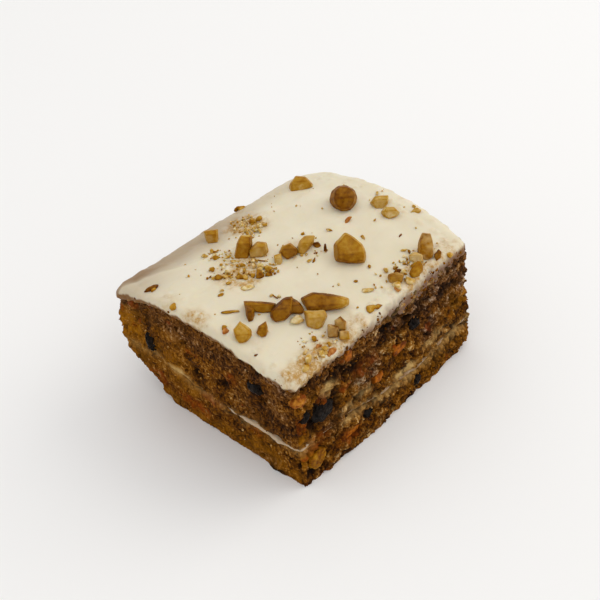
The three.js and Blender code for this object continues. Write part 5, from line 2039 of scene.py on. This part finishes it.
ORANGE_CHIPS = chips(
    (16.4, -3.1, 2.8, 1.5, -8, 0.5, 0.9), (4.4, -30.6, 2.2, 1.3, 70, 0.5, 1.2),
    (5.8, -29.6, 1.4, 0.9, 0, 0.5, 1), (-26, -28.2, 2.4, 1.5, 10, 0.5, 1.3),
    (-24.8, -31.6, 2.6, 1.8, -10, 0.5, 1.4, 1.3), (-38.9, -8.6, 2.2, 1.7, 30, 0.5, 1.2),
)


@dataclass
class NutCrumbs(Scattered):
    """Fine chopped walnut: the drifts of the solid, and finer bits among them."""

    name: str = "walnut_crumbs"
    finer: int = 5           # how many finer crumbs lie round each large one
    drifts: tuple[Drift, ...] = (
        Drift(-1.5, 17.5, 5.5, 3.4, 43, 8, 2.8, 0, 0.45),
        Drift(-17.5, 4.5, 9.5, 2.6, -50, 11, 3, 0, 0.42),
        Drift(-16.5, 16, 5, 3.4, -50, 5, 2.4),
        Drift(-1, -2.5, 6, 2.6, -50, 4, 2.4),
        Drift(14, -26, 12, 2.4, -4, 8, 2.8),
        Drift(-27, -25.5, 7, 2, 6, 4, 2.2),
        Drift(-2, 0, 35, 25, 0, 12, 2.2, 0, 0.5),
        Drift(-1, 20.5, 7, 3.4, 68, 0, 2.9, 75, 0.5),
        Drift(-15, 8, 9.5, 2.8, -55, 0, 2.2, 60, 0.5),
        Drift(-20.8, 3.8, 8.5, 1.2, -49, 0, 3, 60, 0.05, 0.7),
        Drift(13, -27.5, 6, 2.6, -4, 0, 2.8, 40, 0.1, 0.9),
        Drift(-27, -29.5, 7, 2.2, 6, 0, 2.4, 30, 0.5),
    )

    def build(self, walnuts: WalnutPieces) -> Object:
        """Makes the crumbs, leaving out those that would lie under a piece of walnut.

        In each drift, angle and the square root of the reach are even, so they lie evenly
        over its oval. Each drift is laid once with large crumbs and once with finer ones.

        Args:
            walnuts: the pieces of walnut, which keep their room.

        Returns:
            The joined crumbs.
        """
        rows = []
        for d, drift in enumerate(self.drifts, 1):
            for finer in (False, True):
                count = drift.count * self.finer + drift.fine if finer else drift.count
                # A number of its own for each crumb.
                key = 100.0 * d + np.arange(count) + (5000.0 if finer else 0.0)
                angle = FULL_TURN * scatter(key, 1)
                reach = np.sqrt(scatter(key, 2)) * (1.15 if finer else 1.0)
                plan = np.stack(
                    [drift.along * reach * np.cos(angle), drift.across * reach * np.sin(angle)]
                )
                x, y = turned(2, drift.turn)[:2, :2] @ plan
                largest = 0.5 * drift.size if finer else drift.size
                size = largest * mix(0.35 if finer else 0.6, 1.0, scatter(key, 3))
                tone = mix(drift.low, drift.high, scatter(key, 7))
                rows.append(np.stack([x + drift.x, y + drift.y, size, key, tone], axis=-1))
        x, y, size, key, tones = np.concatenate(rows).T
        apart = np.full(len(x), np.inf)
        for cut in walnuts.cuts:
            room = 0.5 * np.ptp(np.array(cut.outline)[:, 0]) + size / 2
            apart = np.minimum(apart, np.hypot(x - cut.x, y - cut.y) - room * (size > 1.6))
        kept = apart > 0
        x, y, size, key, tones = (value[kept] for value in (x, y, size, key, tones))
        places = np.stack([x, y, FORM.frosting_top(x, y) + 0.12 * size], axis=-1)
        flat = np.stack(
            [np.ones_like(x), mix(0.5, 1, scatter(key, 4)), mix(0.4, 0.8, scatter(key, 5))], axis=-1
        )
        spins = random_spins(np.random.default_rng(self.seed), len(x))
        return self.cloud(places, flat * size[:, None], spins, {"tone": tones})


@dataclass
class RimCrumbs(Scattered):
    """Crumb that the knife dragged into the rim of the frosting."""

    name: str = "rim_crumbs"
    count: int = 1100

    # How thickly it lies, by share of the way round.
    density: Knots = (
        (0.00, 0.15), (0.03, 0.3), (0.06, 0.2), (0.10, 0.3), (0.13, 0.6), (0.16, 1),
        (0.21, 1), (0.24, 0.4), (0.30, 0.1), (0.72, 0.05), (0.80, 0.1), (0.90, 0.12),
        (1.00, 0.15),
    )

    def build(self, frosting: Frosting) -> Object:
        """Sets bits on the rim, most where the crumb is torn, half sunk in it.

        Args:
            frosting: the finished frosting, which knows its own rim.

        Returns:
            The joined crumbs.
        """
        chance = np.random.default_rng(self.seed)
        rows, columns = frosting.surface.shape[:2]
        r = (rows * (1 - 0.5 * chance.random(self.count) ** 1.5) - 1).astype(int)
        c = chance.integers(0, columns, self.count)
        kept = chance.random(self.count) < between(self.density, c / columns)
        r, c = r[kept], c[kept]
        size = 0.5 + 1.3 * chance.random(len(r)) ** 2
        out = np.concatenate([frosting.normals[r, c], np.zeros((len(r), 1))], axis=-1)
        middles = frosting.surface[r, c] - out * (0.12 * size)[:, None]
        sizes = size[:, None] * chance.uniform(0.5, 1.0, size=(len(r), 3))
        tone = mix(0.1, 0.7, chance.random(len(r)))
        crumb = np.stack([tone, 0 * tone, 0 * tone, 1 + 0 * tone], axis=-1)
        wet = 0.6 * chance.random(len(r))
        area = np.stack([0.5 - 0.5 * wet, wet, 0.3 * wet, 0.3 * (tone > 0.6)], axis=-1)
        spins = random_spins(chance, len(r))
        return self.cloud(middles, sizes, spins, {"crumb": crumb, "zones": area})


@dataclass
class SpongeCrumbs(Scattered):
    """Loose crumb that still clings to the cut faces."""

    name: str = "upper_sponge_loose_crumbs"
    count: int = 900

    def build(self, layer: SpongeLayer) -> Object:
        """Sets bits on seeded places of a layer's side, each half sunk in it.

        Args:
            layer: the finished layer, which knows its own side and colours.

        Returns:
            The joined crumbs.
        """
        chance = np.random.default_rng(self.seed)
        rows, columns = layer.surface.shape[:2]
        r = chance.integers(2, rows - 2, self.count)
        c = chance.integers(0, columns, self.count)
        out = np.concatenate([layer.normals[r, c], np.zeros((self.count, 1))], axis=-1)
        size = 0.5 + 1.1 * chance.random(self.count) ** 2.5
        places = layer.surface[r, c] + out * (0.12 * size)[:, None]
        places[:, 2] = np.maximum(places[:, 2], size / 2)
        sizes = size[:, None] * chance.uniform(0.6, 1.0, size=(self.count, 3))
        crumb = layer.crumb[r, c]
        crumb[:, 0] = 0.2 + 0.5 * chance.random(self.count)
        crumb[:, 1] = 0
        colours = {"crumb": crumb, "zones": layer.area[r, c]}
        return self.cloud(places, sizes, random_spins(chance, self.count), colours)


# -------- studio


@dataclass(frozen=True)
class Lamp:
    """A soft round lamp aimed at the slice, in metres and watts."""

    name: str
    place: tuple[float, float, float]
    size: float
    power: float
    colour: str = "#FFFFFF"


@dataclass
class Studio:
    """Pale floor, soft light and the camera."""

    floor_reach: float = 3.0
    floor_colour: str = "#F5F3F0"
    sky_colour: str = "#F4F5F7"
    sky_strength: float = 0.82
    camera_place: tuple[float, float, float] = (-0.161093, -0.157914, 0.209710)
    camera_turn: tuple[float, float, float] = (50.297, 3.749, -48.480)
    lens: float = 60.0
    sensor: float = 36.0
    lamps: tuple[Lamp, ...] = (
        Lamp("window", (0.95, -0.5, 0.85), 1.1, 4.2, "#FFFDF8"),
        Lamp("ceiling", (0.1, -0.1, 1.4), 2.4, 5.6),
    )

    def build(self) -> None:
        """Makes the floor, the lights, the sky and the camera."""
        self.floor()
        self.lights()
        self.sky()
        self.camera()

    def lights(self) -> None:
        """Makes the lamps, each turned towards the origin."""
        for lamp in self.lamps:
            data = bpy.data.lights.new(lamp.name, "AREA")
            data.shape = "DISK"
            data.size = lamp.size
            data.energy = lamp.power
            data.color = linear(lamp.colour)[:3]
            made = linked(lamp.name, data)
            made.location = lamp.place
            aim = -made.location
            made.rotation_euler = aim.to_track_quat("-Z", "Y").to_euler()

    def sky(self) -> None:
        """Makes the even light from all round, and shows colours as they are."""
        world = bpy.data.worlds.new("studio_sky")
        world.use_nodes = True
        background = world.node_tree.nodes["Background"]
        background.inputs["Color"].default_value = linear(self.sky_colour)
        background.inputs["Strength"].default_value = self.sky_strength
        bpy.context.scene.world = world
        bpy.context.scene.view_settings.view_transform = "Standard"

    def camera(self) -> None:
        """Makes the camera, turned about the three axes in degrees."""
        data = bpy.data.cameras.new("camera")
        data.lens = self.lens
        data.sensor_width = self.sensor
        data.clip_start = 0.01
        camera = linked("camera", data)
        camera.location = self.camera_place
        camera.rotation_euler = [math.radians(angle) for angle in self.camera_turn]
        bpy.context.scene.camera = camera

    def floor(self) -> None:
        """Makes the flat floor that the slice stands on."""
        material = bpy.data.materials.new("studio_floor")
        material.use_nodes = True
        surface = material.node_tree.nodes["Principled BSDF"]
        surface.inputs["Base Color"].default_value = linear(self.floor_colour)
        surface.inputs["Roughness"].default_value = 0.9
        reach = self.floor_reach
        mesh = bpy.data.meshes.new("floor")
        corners = [(-reach, -reach, 0), (reach, -reach, 0), (reach, reach, 0), (-reach, reach, 0)]
        mesh.from_pydata(corners, [], [(0, 1, 2, 3)])
        mesh.materials.append(material)
        linked("floor", mesh)


def main() -> None:
    """Builds the slice from the plate up, then the studio."""
    logging.basicConfig(level=logging.INFO, format="%(name)s %(message)s")
    lower = LowerSponge(SPONGE_CRUMB)
    lower.build()
    CreamFilling(FILLING_CREAM).build()
    upper = SpongeLayer(SPONGE_CRUMB)
    upper.build()
    frosting = Frosting(FROSTING_CREAM)
    frosting.build()
    walnuts = WalnutPieces(WALNUT)
    walnuts.build()
    NutCrumbs(WALNUT, seed=5).build(walnuts)
    Chips(WALNUT, seed=6).build()
    Chips(CARROT_CHIP, name="carrot_chips", seed=7, bits=ORANGE_CHIPS).build()
    RimCrumbs(SPONGE_CRUMB, seed=8).build(frosting)
    FaceBits(RAISIN_SKIN, RAISINS).build()
    FaceBits(SULTANA_SKIN, SULTANAS).build()
    FaceBits(CARROT_SHRED, CARROTS, puckered=False).build()
    FaceBits(WALNUT, SUNK_WALNUTS, puckered=False).build()
    SpongeCrumbs(SPONGE_CRUMB, "lower_sponge_loose_crumbs", seed=11, count=560).build(lower)
    SpongeCrumbs(SPONGE_CRUMB, seed=12).build(upper)
    Studio().build()


if __name__ == "__main__":
    main()
